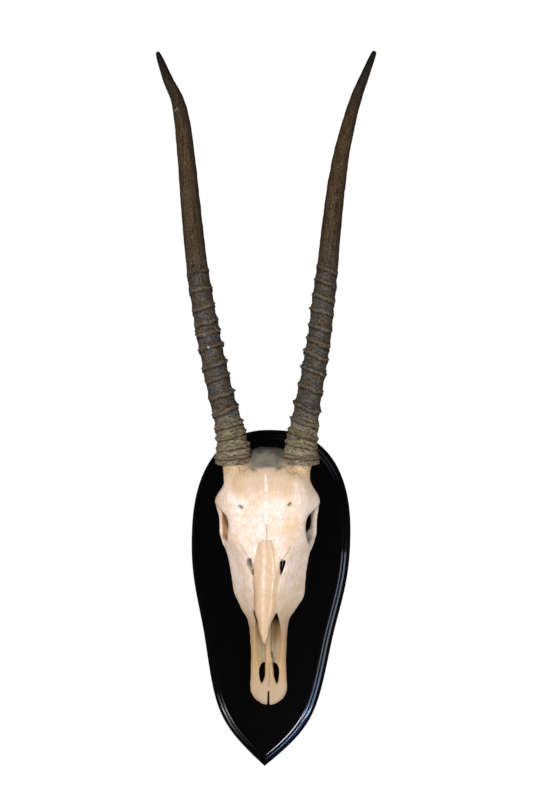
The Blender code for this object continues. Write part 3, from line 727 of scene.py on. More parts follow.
# %% Cutters for the openings
def trough_ring(height, left, right, rim, floor):
    """One level of the open trough, whose walls lean back to a rounded floor."""
    section = [(across, floor + (rim - floor) * up) for across, up in TROUGH_SECTION] + [(1.0, TROUGH_FRONT)]
    ring = [(right * across, depth) for across, depth in section]
    ring += [(-left * across, depth) for across, depth in reversed(section)]
    return [at(x, depth, height) for x, depth in ring]


def skull_hollows():
    """Everything that is open in the bone."""
    bm = bmesh.new()
    loft(bm, [box_ring(0, half, front, back, z) for z, half, front, back in NASAL_CAVITY])
    loft(bm, [trough_ring(*level) for level in NASAL_TROUGH])
    loft(bm, [box_ring(0, half, *MUZZLE_CUT, z) for z, half in TIP_SLIT])
    rod(bm, *SPINAL_OPENING, SPINAL_OPENING_RADIUS)
    for slot in LACRIMAL_SLOTS:
        loft(bm, [box_ring(x, half, *LACRIMAL_CUT, z) for z, x, half in slot])
    for side in (-1, 1):
        loft(bm, [box_ring(SLOT_MIDDLE + side * x, half, *MUZZLE_CUT, z) for z, x, half in PALATINE_SLOT])
        lump(bm, (side * ORBIT_CENTRE[0], *ORBIT_CENTRE[1:]), ORBIT_RADII)
    hollows = mesh_object(bm, "hollows", None)
    even_skin(hollows, THIN_VOXEL)
    return hollows


# %% Thin bones
# Nasal bones: (height, middle across, half width, then three depths: of the crown, of the left edge and of
# the right one).
NASALS = (
    (8, -2, 8, 135.6, 132, 132), (5, -2, 11.3, 135.2, 130, 130), (-10, -1, 15.5, 132, 125, 126),
    (-22, -1, 18.3, 129, 120, 122), (-38, -1, 21, 125, 113, 116), (-50, -1.2, 20.2, 122, 110, 114),
    (-68, -2.5, 18, 117, 105, 110), (-90, -3.4, 17.1, 110.5, 98, 104), (-106, -3.5, 16, 106, 93, 97),
    (-118, -4.4, 11.6, 102.5, 92.5, 94), (-128, -4.9, 9, 99.5, 91.5, 92), (-138, -5, 7.1, 96.5, 90, 90),
    (-147, -4.8, 4.4, 94, 88.5, 88.5), (-154, -4.9, 1.6, 92, 88, 88))
NASAL_VALLEY = 0.9
NASAL_THICKNESS = 3
# Vomer and the palatine bars between the slots: (height, across, half width, front, back).
VOMER = (
    (-84, 1.5, 1.5, 84, 50), (-110, 2.7, 1.6, 80, 44), (-135, 3.0, 1.8, 64, 40), (-148, 0.5, 3.4, 57, 40),
    (-160, -0.9, 5.0, 52.5, 38), (-175, -0.6, 5.2, 49.5, 36), (-188, 0.6, 5.5, 46.4, 32),
    (-205, 1.2, 7, 43.4, 30), (-218, 1.2, 7, 41.5, 30))
# A thin plate a little way down in the left tear opening, of the same kind.
TEAR_PLATE = ((-18, -26.5, 4, 120, 115), (-30, -25, 5, 117, 112), (-42, -23.5, 3, 114, 109))
# A splinter of bone across the right one.
BONE_BRIDGE = ((23.6, 121, -17), (22.6, 116, -33))
BONE_BRIDGE_RADIUS = 1.3
THIN_BONE_SIDES = 40


def nasal_ring(z, middle, half, crown, left, right):
    """One level of the nasal bones: two low vaults side by side, with a shallow valley between them."""
    loop = [(middle, crown - NASAL_VALLEY, z)]
    for side, edge in ((1, right), (-1, left)):
        vault = [(0.5, crown), (0.85, crown * 0.6 + edge * 0.4), (1, edge), (0.5, edge - NASAL_THICKNESS)]
        loop += [(middle + side * half * share, depth, z) for share, depth in vault[::side]]
    sides = THIN_BONE_SIDES
    return [at(*smooth_through(loop, len(loop) * i / sides, closed=True)) for i in range(sides)]


def thin_bones():
    """The nasal bones and the vomer, which stand over and inside the nasal opening."""
    bm = bmesh.new()
    loft(bm, [nasal_ring(*level) for level in NASALS])
    for bone in (VOMER, TEAR_PLATE):
        loft(bm, [box_ring(x, half, front, back, z) for z, x, half, front, back in bone])
    rod(bm, *BONE_BRIDGE, BONE_BRIDGE_RADIUS)
    bones = mesh_object(bm, "thin_bones", None)
    even_skin(bones, THIN_VOXEL)
    return bones


# %% Make the skull
ROUGH_VOXEL = 2.0
FINE_VOXEL = 1.3


def make_skull():
    skull = skull_form()
    even_skin(skull, ROUGH_VOXEL)
    combine(skull, skull_hollows(), "DIFFERENCE")
    combine(skull, thin_bones(), "UNION")
    even_skin(skull, FINE_VOXEL)
    soft = skull.modifiers.new("soft bone", "SMOOTH")
    soft.factor = 0.5
    soft.iterations = 4
    settle(skull)
    return skull


bleached_skull = make_skull()
print("skull faces before carving:", len(bleached_skull.data.polygons))


# %% [markdown]
# ## Carving the skull
#
# The even skin has the right masses but no bone detail. Real bone has seams where its plates meet, a ridge
# down the forehead, channels that run out of the two small brow holes, and a band of open pores where the
# horn's sheath sat. Each is a rule that says how far a point moves along its normal, so all of them are
# added up for every point at once. The same rules are kept as attributes, so that the material can stain the
# seams and pores that the carving makes.

# %% Seams and other carved lines
# Lines on the front of the skull as (across, height), with half width, depth and strength of the stain.
SEAMS = {
    "brow": (((-1, 34), (-0.4, 22), (-0.6, 8)), 0.9, 0.9, 0.9),
    "left_nasal_top": (((-8, 9), (-12.4, 2), (-16, -10), (-19, -22), (-22, -38)), 1.2, 0.6, 0.25),
    "left_nasal": (((-22, -38), (-21.6, -52), (-20.7, -68), (-20.5, -96)), 1.1, 1.8, 1.0),
    "nasal_root": (((-8, 9), (-4.5, 9.5), (-1.2, 5.5), (3, 9.5), (7.5, 8)), 1.0, 0.8, 0.6),
    "left_tear": (
        ((-25, -21), (-29, -19), (-32, -14), (-34, -11), (-37, -6), (-38.5, -3), (-40, 2)), 0.9, 0.8, 0.8),
    "right_tear": (((24, -20), (26, -18.5), (28, -14), (31, -11), (34.5, -5), (34, -1)), 0.9, 0.8, 0.7),
    "right_tear_inner": (((17, -14), (20, -20), (22, -21)), 0.8, 0.8, 0.7),
    "left_muzzle": (((-19.5, -112), (-21.5, -126), (-24.5, -146), (-26, -160)), 0.9, 0.5, 0.35),
    "right_muzzle": (((20, -118), (22.5, -140), (25, -156)), 0.9, 0.5, 0.35),
    "palate": (((1.4, -190), (1.3, -200), (1.1, -214), (0.6, -228)), 0.9, 0.9, 0.9),
    "vomer_side": (((-6, -150), (-5.8, -165), (-5, -184)), 0.9, 0.6, 0.4),
}
# The ridge down the brow: its line, half width and height, and how far out its pinkish foot lies.
BROW_RIDGE = ((-1.5, 108), (-1, 84), (-0.8, 60), (-0.6, 30))
RIDGE_HALF = 1.9
RIDGE_HEIGHT = 1.1
RIDGE_FOOT = 3.4
RIDGE_FOOT_HALF = 1.5
# Blood vessel holes in the brow, and the channels that run down from them.
BROW_HOLES = (((-40, 60.6), (-37.6, 58)), ((35, 65.4), (33.2, 63)))
BROW_HOLE_HALF = 2.0
BROW_HOLE_DEPTH = 3.6
BROW_CHANNELS = (
    ((-37, 57), (-33, 49), (-29.5, 38)), ((33, 62), (29.5, 52), (27, 42)), ((34, 60), (35.5, 50), (35, 43)))
CHANNEL_HALF = 2.6
CHANNEL_DEPTH = 1.3
print("seams:", ", ".join(SEAMS))


# %% Rules for a point's place
def to_line(across, height, points):
    """The distance in millimetres from every point to a line of straight stretches."""
    nearest = np.full(len(across), 1e9)
    for (x0, z0), (x1, z1) in zip(points, points[1:]):
        dx, dz = x1 - x0, z1 - z0
        share = np.clip(((across - x0) * dx + (height - z0) * dz) / (dx * dx + dz * dz), 0, 1)
        nearest = np.minimum(nearest, np.hypot(across - x0 - share * dx, height - z0 - share * dz))
    return nearest


def soft_line(across, height, points, half_width):
    """1 on a line, fading to about a third at its half width."""
    return np.exp(-(to_line(across, height, points) / half_width)**2)


def fade(value, start, end):
    """0 at start and before, 1 at end and after, smooth between. start may be the larger."""
    share = np.clip((value - start) / (end - start), 0, 1)
    return share * share * (3 - 2 * share)


PIT_SHARE = 0.42


def unevenness(points, size, seed):
    """Smooth noise from -1 to 1, with lumps of about the given size in millimetres."""
    shift = Vector((seed, 2 * seed, 3 * seed))
    return np.array([noise.noise(Vector(p) / size + shift) for p in points])


def pits(points, size, seed):
    """1 in the middle of a pit and 0 outside, for pits about the given distance apart in millimetres."""
    shift = Vector((seed, 2 * seed, 3 * seed))
    near = np.array([noise.voronoi(Vector(p) / size + shift)[0][0] for p in points])
    return np.clip(1 - near / PIT_SHARE, 0, 1)


def mesh_points(mesh):
    """Every vertex's place in millimetres as (across, depth, height), and its normal in the same order."""
    count = len(mesh.vertices)
    places, normals = np.empty(count * 3), np.empty(count * 3, np.float32)
    mesh.vertices.foreach_get("co", places)
    mesh.vertex_normals.foreach_get("vector", normals)
    flip = np.array((1, -1, 1))
    return places.reshape(-1, 3) * flip / MM, normals.reshape(-1, 3).astype(float) * flip


def keep_attribute(mesh, name, values):
    kept = mesh.attributes.new(name, "FLOAT", "POINT")
    kept.data.foreach_set("value", np.ascontiguousarray(values, np.float32))


# %% Pores and teeth
# The open pores lie round each horn's foot: how far below it they reach, and how far out.
PORE_BAND = (22, 4)
PORE_TOP = (-12, -4)
PORE_REACH = (36, 24)
PORE_SPACING = 3.2
PORE_DEPTH = 1.5


def pore_band(spots):
    """1 on the bone round the foot of each horn, 0 elsewhere."""
    band = np.zeros(len(spots))
    for line in HORN_LINES.values():
        base = Vector(line[0])
        run = (Vector(line[1]) - base).normalized()
        below = -(spots - np.array(base)) @ np.array(run)
        beside = np.linalg.norm(spots - np.array(base) + below[:, None] * np.array(run), axis=1)
        band = np.maximum(band, fade(below, *PORE_BAND) * fade(below, *PORE_TOP) * fade(beside, *PORE_REACH))
    return band


def tooth_enamel(x, depth, z):
    """1 on the crowns of the cheek teeth."""
    from_row = np.abs(np.abs(x) - TEETH_ACROSS)
    return fade(depth, 42, 30) * fade(from_row, 11, 8) * (z > TEETH_START - 2) * (z < 12)


# %% Carve the bone
# How far the left side stands to the right of a mirror image of the right side, as (height, distance).
LEFT_SHIFT = (
    (-112, 0), (-104, 1.0), (-97, 2.6), (-90, 3.6), (-80, 2.0), (-66, 1.0), (-50, 0), (-22, 0), (0, -1.4),
    (10, -1.9), (62, -1.9), (84, 0))
SEAT_GAP = 0.3


def carve_skull(skull):
    mesh = skull.data
    spots, normals = mesh_points(mesh)
    x, depth, z = spots.T
    front = fade(normals[:, 1], -0.25, 0.15)
    move = 0.6 * unevenness(spots, 22, 1.7) + 0.3 * unevenness(spots, 7, 4.3)
    waver = 0.7 * np.sin(z * 1.9) * np.sin(z * 0.61 + 1) + 0.4 * np.sin(z * 4.1)
    seam = np.zeros(len(x))
    for points, half_width, sunk, tint_strength in SEAMS.values():
        line = soft_line(x + waver, z + 0.5 * waver, points, half_width) * front * (depth > 28)
        move -= sunk * line
        seam = np.maximum(seam, line * tint_strength)
    off_ridge = to_line(x + 0.4 * waver, z, BROW_RIDGE)
    ridge = np.exp(-(off_ridge / RIDGE_HALF)**2) * front * fade(unevenness(spots, 8, 21.0), -0.5, 0.1)
    ridge_foot = np.exp(-((off_ridge - RIDGE_FOOT) / RIDGE_FOOT_HALF)**2) * front
    # The brow holes are sunk here, and the same mask later paints them dark inside, as shade.
    hole = np.max([soft_line(x, z, points, BROW_HOLE_HALF) for points in BROW_HOLES], axis=0) * front
    channel = np.max([soft_line(x, z, points, CHANNEL_HALF) for points in BROW_CHANNELS], axis=0) * front
    move += RIDGE_HEIGHT * ridge - BROW_HOLE_DEPTH * hole - CHANNEL_DEPTH * channel
    pores = pore_band(spots)
    pitted = pores * pits(spots, PORE_SPACING, 5.1)
    move += pores * (0.5 * unevenness(spots, 3, 8.8) - 0.2) - PORE_DEPTH * pitted
    enamel = tooth_enamel(x, depth, z)
    move += enamel * 0.45 * np.sin(z * 1.35) * fade(np.abs(normals[:, 0]), 0.2, 0.6)
    moved = spots + normals * move[:, None]
    heights, shifts = np.array(LEFT_SHIFT, float).T
    moved[:, 0] += np.interp(z, heights, shifts) * fade(-x, 30, 46)
    moved[:, 1] = np.maximum(moved[:, 1], BOARD_FIELD + SEAT_GAP)
    mesh.vertices.foreach_set("co", (moved * np.array((1, -1, 1)) * MM).ravel())
    mesh.update()
    return {"seam": seam, "hole": hole, "ridge": ridge, "ridge_foot": ridge_foot, "pores": pores,
            "pitted": pitted, "enamel": enamel, "front": front}


carved = carve_skull(bleached_skull)
print("carved:", ", ".join(f"{name} {int((mask > 0.5).sum())} points" for name, mask in carved.items()))


# %% [markdown]
# ## Where the bone is stained and shaded
#
# Old bone isn't one colour. The dome between the horns is grey, partly its own tone and partly painted shade,
# the pores are ochre, the nasal bones and the tip of the muzzle are honey coloured, and the sockets and the
# nose are orange brown inside, partly stain and partly painted shade. The upper brow and the muzzle are tan,
# partly painted shade. The recesses at the foot of the dome, the top of the nose under the nasal bones and
# the small holes are painted dark, as shade. Painting by hand would need an image, so each stain and each
# painted shade is a rule on the point's place, kept as an attribute.

# %% Places of the stains and the painted shade
# Ochre stains on the brow: (across, height, size, strength).
OCHRE_STAINS = (
    (-46, 94, 12, 0.8), (37, 32, 15, 0.8), (34, 10, 13, 0.5), (12, 84, 15, 0.5), (32, 80, 11, 0.5),
    (-52, 8, 12, 0.5), (-20, 62, 9, 0.4))
# Painted shade, dark brown, in the recesses at the foot of the dome and along its right edge by the horn: a
# line of (across, height), half width, strength.
DOME_SHADE_LINES = (
    (((-22, 116), (-19, 115.5)), 3.0, 1.0), (((16, 118), (18.5, 118.5)), 3.2, 1.0),
    (((14.5, 119), (15.5, 140)), 3.4, 0.35))
# A crack at the foot of the vomer, and the floor of the nose as (height, depth).
VOMER_CRACK = ((4.6, -174), (6.0, -177.5), (5.2, -180), (7.8, -184), (8.2, -188))
VOMER_CRACK_HALF = 1.2
NOSE_FLOOR = ((-230, 40), (-190, 42), (-147, 58), (-125, 76), (-107, 90))
# The skin of the cheeks beside the tear openings, as (height, depth).
TEAR_SURFACE = ((-60, 111), (-20, 124.5))


def table_value(table, places, **outside):
    """Straight interpolation in a table of (place, value), with the places going up."""
    return np.interp(places, [place for place, _ in table], [value for _, value in table], **outside)


def nasal_column(z, column):
    """A column of the table of nasal bones at each height."""
    return table_value([(level[0], column(level)) for level in reversed(NASALS)], z)


print("stained places on the brow:", len(OCHRE_STAINS))


# %% Stains and painted shade of the brow and the muzzle
def brow_stains_and_shade(spots, normals, soft, patch, front):
    """Grey dome with painted shade at its foot and right edge, ochre patches, and the tan of the brow, the
    muzzle and its tip. The dome's grey and the tan of the brow and the muzzle are partly painted shade.
    """
    x, _, z = spots.T
    # corner: painted shade in the recesses at the dome's foot and along its right edge.
    corner = np.zeros(len(x))
    for points, half, tint_strength in DOME_SHADE_LINES:
        corner = np.maximum(corner, tint_strength * soft_line(x + soft, z, points, half) * (normals[:, 1] > 0))
    ochre = np.zeros(len(x))
    for across, height, size, tint_strength in OCHRE_STAINS:
        away = ((x - across)**2 + 0.6 * (z - height)**2) / size**2
        ochre = np.maximum(ochre, tint_strength * fade(away + 0.9 * soft, 1.3, 0.1) * front)
    # The dome's grey is partly its own tone and partly painted shade.
    return {
        "dome": fade(z + 2.5 * soft, 115, 121) * fade(np.abs(x + 0.5), 34, 27), "corner": corner,
        # The tan of the brow and the muzzle is partly painted shade.
        "ochre": ochre, "patch": patch * 0.5 + 0.5, "brow": fade(z + 26 * patch + 10 * soft, 62, 104),
        "muzzle": fade(z, -35, -165), "tip": fade(z, -185, -250)}


# %% Stains and painted shade of the openings
def opening_stains_and_shade(spots, normals, hole):
    """Where the nasal bones are, and how dark or brown the sockets, the nose and the openings are inside:
    partly stain and partly painted shade.
    """
    x, depth, z = spots.T
    side = np.abs(x)
    middle = nasal_column(z, lambda level: level[1])
    half = nasal_column(z, lambda level: level[2])
    edge = nasal_column(z, lambda level: min(level[4:]))
    nasal = fade(np.abs(x - middle) / half, 1.06, 0.94) * fade(depth, edge - 3, edge + 1) * fade(z, 12, 4)
    # The sockets are painted darker inside, partly stain and partly painted shade.
    socket = fade(depth, 96, 84) * fade(side, 54, 58) * fade(side, 73.5, 70) * fade(z, 1, 8) * fade(z, 62, 54)
    surface = table_value(TEAR_SURFACE, z)
    # The insides of the tear openings, the slit beside the nasal bones and the crack are painted dark, as
    # shade.
    for slot in LACRIMAL_SLOTS:
        off = np.abs(x - table_value([(height, across) for height, across, _ in reversed(slot)], z))
        room = table_value([(height, wide) for height, _, wide in reversed(slot)], z, left=0, right=0)
        inside = fade(off - room, 2.4, 1.2) * (room > 0)
        hole = np.maximum(hole, inside * fade(depth, surface - 1, surface - 5))
    slit = fade(np.abs(x - middle + half + 0.9), 2.4, 1.5) * fade(z, -100, -104) * fade(z, -125, -119)
    crack = soft_line(x, z, VOMER_CRACK, VOMER_CRACK_HALF) * (normals[:, 1] > -0.3) * (depth > 30)
    hole = np.maximum(np.maximum(hole, slit * (x < 0)), crack)
    # The inside of the nose is painted brown, partly stain and partly painted shade.
    floor = table_value(NOSE_FLOOR, z)
    nose = fade(side, 23, 20) * fade(z, -60, -75) * fade(z, -228, -205)
    nose = nose * fade(depth, floor + 2, floor - 6) * (1 - nasal)
    return {
        "nasal": nasal, "socket": socket * (x < 0), "pale_socket": socket * (x > 0), "hole": hole,
        "nose": nose, "shadow_under_nasals": nose * fade(z, -134, -116), "nose_low": nose * fade(z, -142, -170)}


# %% Keep the stains and the painted shade on the bone
def stain_and_shade_skull(skull, carved):
    spots, normals = mesh_points(skull.data)
    soft = unevenness(spots, 9, 12.1)
    patch = unevenness(spots, 26, 31.7)
    masks = {name: carved[name] for name in ("ridge", "ridge_foot", "seam", "pores", "pitted", "enamel")}
    masks |= brow_stains_and_shade(spots, normals, soft, patch, carved["front"])
    masks |= opening_stains_and_shade(spots, normals, carved["hole"])
    for name, values in masks.items():
        keep_attribute(skull.data, name, values)
    return tuple(masks)


stain_and_shade_masks = stain_and_shade_skull(bleached_skull, carved)
print("stains:", ", ".join(stain_and_shade_masks))

# %% Fewer faces where the bone is smooth
SKULL_FACE_SHARE = 0.7

thinner = bleached_skull.modifiers.new("fewer faces", "DECIMATE")
thinner.ratio = SKULL_FACE_SHARE
settle(bleached_skull)
bleached_skull.data.transform(skull_lean)
bleached_skull.data.shade_smooth()
triangles = sum(len(face.vertices) - 2 for face in bleached_skull.data.polygons)
print("skull triangles:", triangles)


# %% [markdown]
# ## Bleached bone
#
# The skull was boiled, scraped and bleached, and then left as it was, so it has a dull sheen that is a little
# glossier on the dense nasal bones. Its cream colour is mottled with pinkish white and tan, fine streaks
# follow the length of the muzzle, and the finest pores are only in the bump. The stains and the painted shade
# are laid on as a painter would, coat over coat, each where its mask says. The dense nasal bones are smoother
# and shine more.

# %% Bone
# Name: (size in mm, stretch along the height, detail).
BONE_PATTERNS = {
    "mottle": (19, 1, 5), "streak": (1.6, 0.08, 3), "speckle": (2.4, 1, 3), "chalk": (8, 1, 5),
    "tan_spot": (24, 1, 6)}
FINE_PORE = 0.9
OPEN_PORE = 3.0
# The dome's grey: partly the bone's own tone and partly painted shade, where it lies back between the horns.
DOME_COATS = (("#8C8C82", 1.0, ("mottle", 0.38, 0.62)),)
# Coats of colour from the bare bone outwards. The open pores show as dots with a brown middle.
BONE_COATS = (
    ("#F1E4E2", 1.0, ("mottle", 0.38, 0.62)),
    ("#E8D2BA", 0.4, ("patch",)),
    ("#FAF2F1", 0.4, ("chalk", 0.5, 0.66)),
    ("#DCC3A4", 0.35, ("tan_spot", 0.52, 0.68)),
    ("#D6B48A", 0.7, ("ochre",)),
    # The upper brow: tan, partly its own tone and partly painted shade where it curves back towards the
    # horns.
    ("#BEA68A", 0.72, ("brow",)),
    # The muzzle: tan, partly its own tone and partly painted shade, darker downwards.
    ("#AE9168", 0.92, ("muzzle",)),
    ("#CEB496", 0.88, ("nasal",)),
    ("#B09E8C", 0.8, ("tip",)),
    ("#B88F5E", 0.42, ("streak", 0.35, 0.75)),
    ("#D6B4A0", 0.4, ("ridge_foot",)),
    ("#FDF0EE", 0.75, ("ridge",)))
STAIN_AND_SHADE_COATS = (
    ("#BEA782", 0.7, ("pores",)),
    ("#7A5428", 0.75, ("pores",), ("open_pore", 0.38, 0.22)),
    ("#6E4E26", 0.8, ("pitted",)),
    # Painted shade, dark brown, at the dome's foot and right edge.
    ("#43352A", 0.75, ("corner",)),
    # Inside the sockets, orange brown on the left and grey on the right: partly the bone's own tone and
    # partly painted shade.
    ("#A5784A", 0.85, ("socket",)),
    ("#B3AEA4", 0.8, ("pale_socket",)),
    # Inside the nose: orange brown, partly stain and partly painted shade, and greyer lower down, where the
    # trough is shallow, a painted shade.
    ("#8C6D46", 0.78, ("nose",)),
    ("#B4AC94", 0.6, ("nose_low",)),
    # A painted shadow, nearly black, at the top of the nose under the nasal bones.
    ("#2A1206", 0.96, ("shadow_under_nasals",)),
    ("#CFC3AC", 0.6, ("enamel",)),
    ("#7A563A", 0.75, ("seam",)),
    # Painted shade, nearly black, inside the holes, the tear openings, the slit and the crack.
    ("#2E1A10", 0.9, ("hole",)),
    ("#B08858", 0.3, ("speckle", 0.5, 0.72)))


def make_bone():
    material, tree = empty_material("bleached bone")
    place = add_node(tree, "ShaderNodeTexCoord", {}, out="Object")
    sources = noise_patterns(tree, place, BONE_PATTERNS) | kept_masks(tree, stain_and_shade_masks)
    for name, size in (("fine_pore", FINE_PORE), ("open_pore", OPEN_PORE)):
        sources[name] = add_node(tree, "ShaderNodeTexVoronoi", {"Vector": place, "Scale": 1 / (size * MM)})
    # The dome's grey, partly painted shade.
    dome = lay_coats(tree, hex_colour("#60605A"), sources, DOME_COATS)
    tone = lay_coats(tree, hex_colour("#E3D2C0"), sources, BONE_COATS)
    tone = lay_coats(tree, tone, sources, [(dome, 0.95, ("dome",)), *STAIN_AND_SHADE_COATS])

    relief = add_node(tree, "ShaderNodeMapRange", {"Value": sources["nasal"], "To Min": 0.3, "To Max": 0.04})
    pore_bump = add_node(tree, "ShaderNodeBump", {
        "Height": sources["fine_pore"], "Strength": relief, "Distance": 0.15 * MM})
    streak_bump = add_node(tree, "ShaderNodeBump", {
        "Height": sources["streak"], "Strength": relief, "Distance": 0.3 * MM, "Normal": pore_bump})
    rough = add_node(tree, "ShaderNodeMapRange", {"Value": sources["nasal"], "To Min": 0.55, "To Max": 0.3})
    shader = add_node(tree, "ShaderNodeBsdfPrincipled", {
        "Base Color": tone, "Roughness": rough, "Normal": streak_bump, "IOR": 1.5})
    add_node(tree, "ShaderNodeOutputMaterial", {"Surface": shader})
    return material


bleached_skull.data.materials.clear()
bleached_skull.data.materials.append(make_bone())
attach(bleached_skull, "root")
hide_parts("skull")
print("coats on the bone:", len(BONE_COATS) + len(STAIN_AND_SHADE_COATS) + 1)


# %% [markdown]
# ## The horns
#
# Each horn is a hollow sheath over a core of bone. It grows from its foot, a ring for each season, and the
# oldest part at the tip is worn smooth. A horn could be lofted ring by ring, but it is simpler to start from
# a straight rod, cut it across into hundreds of slices, and then move every point by rule: out to the girth
# at its height, out again where a ring or wrinkle passes, and onto the curved centre line.

# %% Sizes of the horns
HORN_SIDES = 112
RINGED_LENGTH = 330.0
RINGED_SLICES = 520
SMOOTH_SLICES = 170
# The radius at each distance along the horn.
HORN_GIRTH = {
    "left": (
        (0, 27), (15, 25.5), (40, 20.8), (80, 18.8), (130, 17.6), (180, 16.8), (240, 16.5), (300, 16.1),
        (360, 15.4), (430, 14.3), (500, 12.8), (545, 11.4), (567, 9.7), (600, 7.6), (625, 5.8), (638, 4.4),
        (644, 3.0), (646.5, 0.6)),
    "right": (
        (0, 27), (15, 25.5), (40, 20.8), (80, 18.6), (130, 17.4), (180, 16.6), (240, 16.3), (300, 15.6),
        (360, 14.8), (430, 13.7), (500, 11.3), (545, 9.4), (567, 8.7), (600, 6.9), (625, 5.4), (638, 4.2),
        (644, 2.8), (646.5, 0.6)),
}
HORN_DEPTH_RATIO = 1.08
# How far along the horn each ring is, how far the rings tilt, and how high a ring is at each distance.
RINGS = {
    "left": (17, 33, 49, 65, 87, 112, 138, 158, 186, 208, 223, 247, 273, 299),
    "right": (16, 35, 51, 70, 93, 122, 149, 172, 191, 214, 238, 259, 281, 301),
}
RING_TILT = {"left": radians(5), "right": radians(13)}
TILT_SHARE = ((0, 0), (25, 1), (320, 1), (420, 0))
RING_HEIGHT = ((0, 2.6), (20, 3.2), (40, 5.2), (80, 5.4), (120, 4.4), (200, 3.6), (260, 2.4), (320, 1.2))
RING_LOWER_SLOPE = 4.8
RING_UPPER_SLOPE = 2.7
ROUND_RADIUS = 17
WRINKLED_LENGTH = 105.0
# Old knocks as lines of (distance round, distance along), with half width, depth, and how dark and how pale
# they are: a nick, a notch, a scratch, and a small white chip that has no depth.
MARKS = {
    "left": (
        (((38.9, 295.6), (27, 299), (12.7, 307)), 1.3, 1.2, 1, 0),
        (((31, 309), (33, 311)), 2.2, 2.4, 1, 0),
        (((40, 546), (30, 549)), 0.8, 0.3, 0, 0.35),
        (((28, 184), (28.6, 184.6)), 1.1, 0, 0, 0.6)),
    "right": ()}
print("rings:", {name: len(rings) for name, rings in RINGS.items()})


# %% A rod and a centre line
LINE_STEPS = 600


def straight_rod(length):
    """A rod of unit radius along +Z, cut into slices. The slices are thinner over the ringed stretch."""
    bm = bmesh.new()
    bmesh.ops.create_cone(bm, cap_ends=True, segments=HORN_SIDES, radius1=1, radius2=1, depth=1)
    bmesh.ops.translate(bm, verts=bm.verts, vec=(0, 0, 0.5))
    uprights = [edge for edge in bm.edges if abs(edge.verts[0].co.z - edge.verts[1].co.z) > 0.5]
    bmesh.ops.subdivide_edges(bm, edges=uprights, cuts=RINGED_SLICES + SMOOTH_SLICES - 1)
    slices = RINGED_SLICES + SMOOTH_SLICES
    for vert in bm.verts:
        n = vert.co.z * slices
        ringed = min(n, RINGED_SLICES) * RINGED_LENGTH / RINGED_SLICES
        smooth = max(0.0, n - RINGED_SLICES) * (length - RINGED_LENGTH) / SMOOTH_SLICES
        vert.co.z = ringed + smooth
    return bm


def centre_line(points):
    """Close-set points on the centre line with the distance travelled to each."""
    shares = [n / LINE_STEPS * NEARLY for n in range(LINE_STEPS + 1)]
    fine = np.array([smooth_through(points, (len(points) - 1) * share) for share in shares])
    steps = np.linalg.norm(np.diff(fine, axis=0), axis=1)
    return fine, np.concatenate([[0], np.cumsum(steps)])


def ridged(points, size, seed):
    """Sharp crests of about the given spacing: near 1 on a crest and 0 in a valley."""
    return np.clip(1 - 3.2 * np.abs(unevenness(points, size, seed)), 0, 1)


# %% Rings of a horn
def grow_rings(name, turn, place, unrolled):
    """How far the rings stand out, with their rubbed crests and the grooves under them, painted dark as
    shade.

    Each ring has its own height and lean, and a weaker echo on both sides."""
    girdle = 0.86 + 0.2 * np.cos(turn) + 0.08 * np.sin(turn)
    out, crest, under = np.zeros((3, len(place)))
    for number, ring in enumerate(RINGS[name]):
        own = Random(f"{name} ring {number}")
        high = table_value(RING_HEIGHT, ring) * own.uniform(0.8, 1.2)
        rubbed = min(1.0, high / 2)
        lean = own.uniform(-1.8, 1.8)
        rough = unevenness(unrolled, 6, number + 0.7)
        apart = place - ring - lean * np.sin(turn + own.uniform(0, 6))
        slope = np.where(apart < 0, RING_LOWER_SLOPE, RING_UPPER_SLOPE)
        ridge = np.exp(-np.abs(apart) / slope) * (1 + 0.55 * rough)
        out += high * girdle * ridge
        crest = np.maximum(crest, np.exp(-((apart + 0.8) / 3.3)**2) * rubbed)
        # under: the groove just below each crest, where shade is painted.
        under = np.maximum(under, np.exp(-((apart + 5.4) / 1.7)**2) * rubbed)
        for gap, share in ((own.uniform(5, 8), 0.45), (-own.uniform(4, 7), 0.3)):
            echo = apart + gap
            broken = fade(unevenness(unrolled, 14, number + gap), -0.15, 0.25)
            out += high * share * broken * np.exp(-np.abs(echo) / 1.6)
            crest = np.maximum(crest, share * broken * np.exp(-(echo / 1.3)**2) * rubbed)
    return out, crest, under


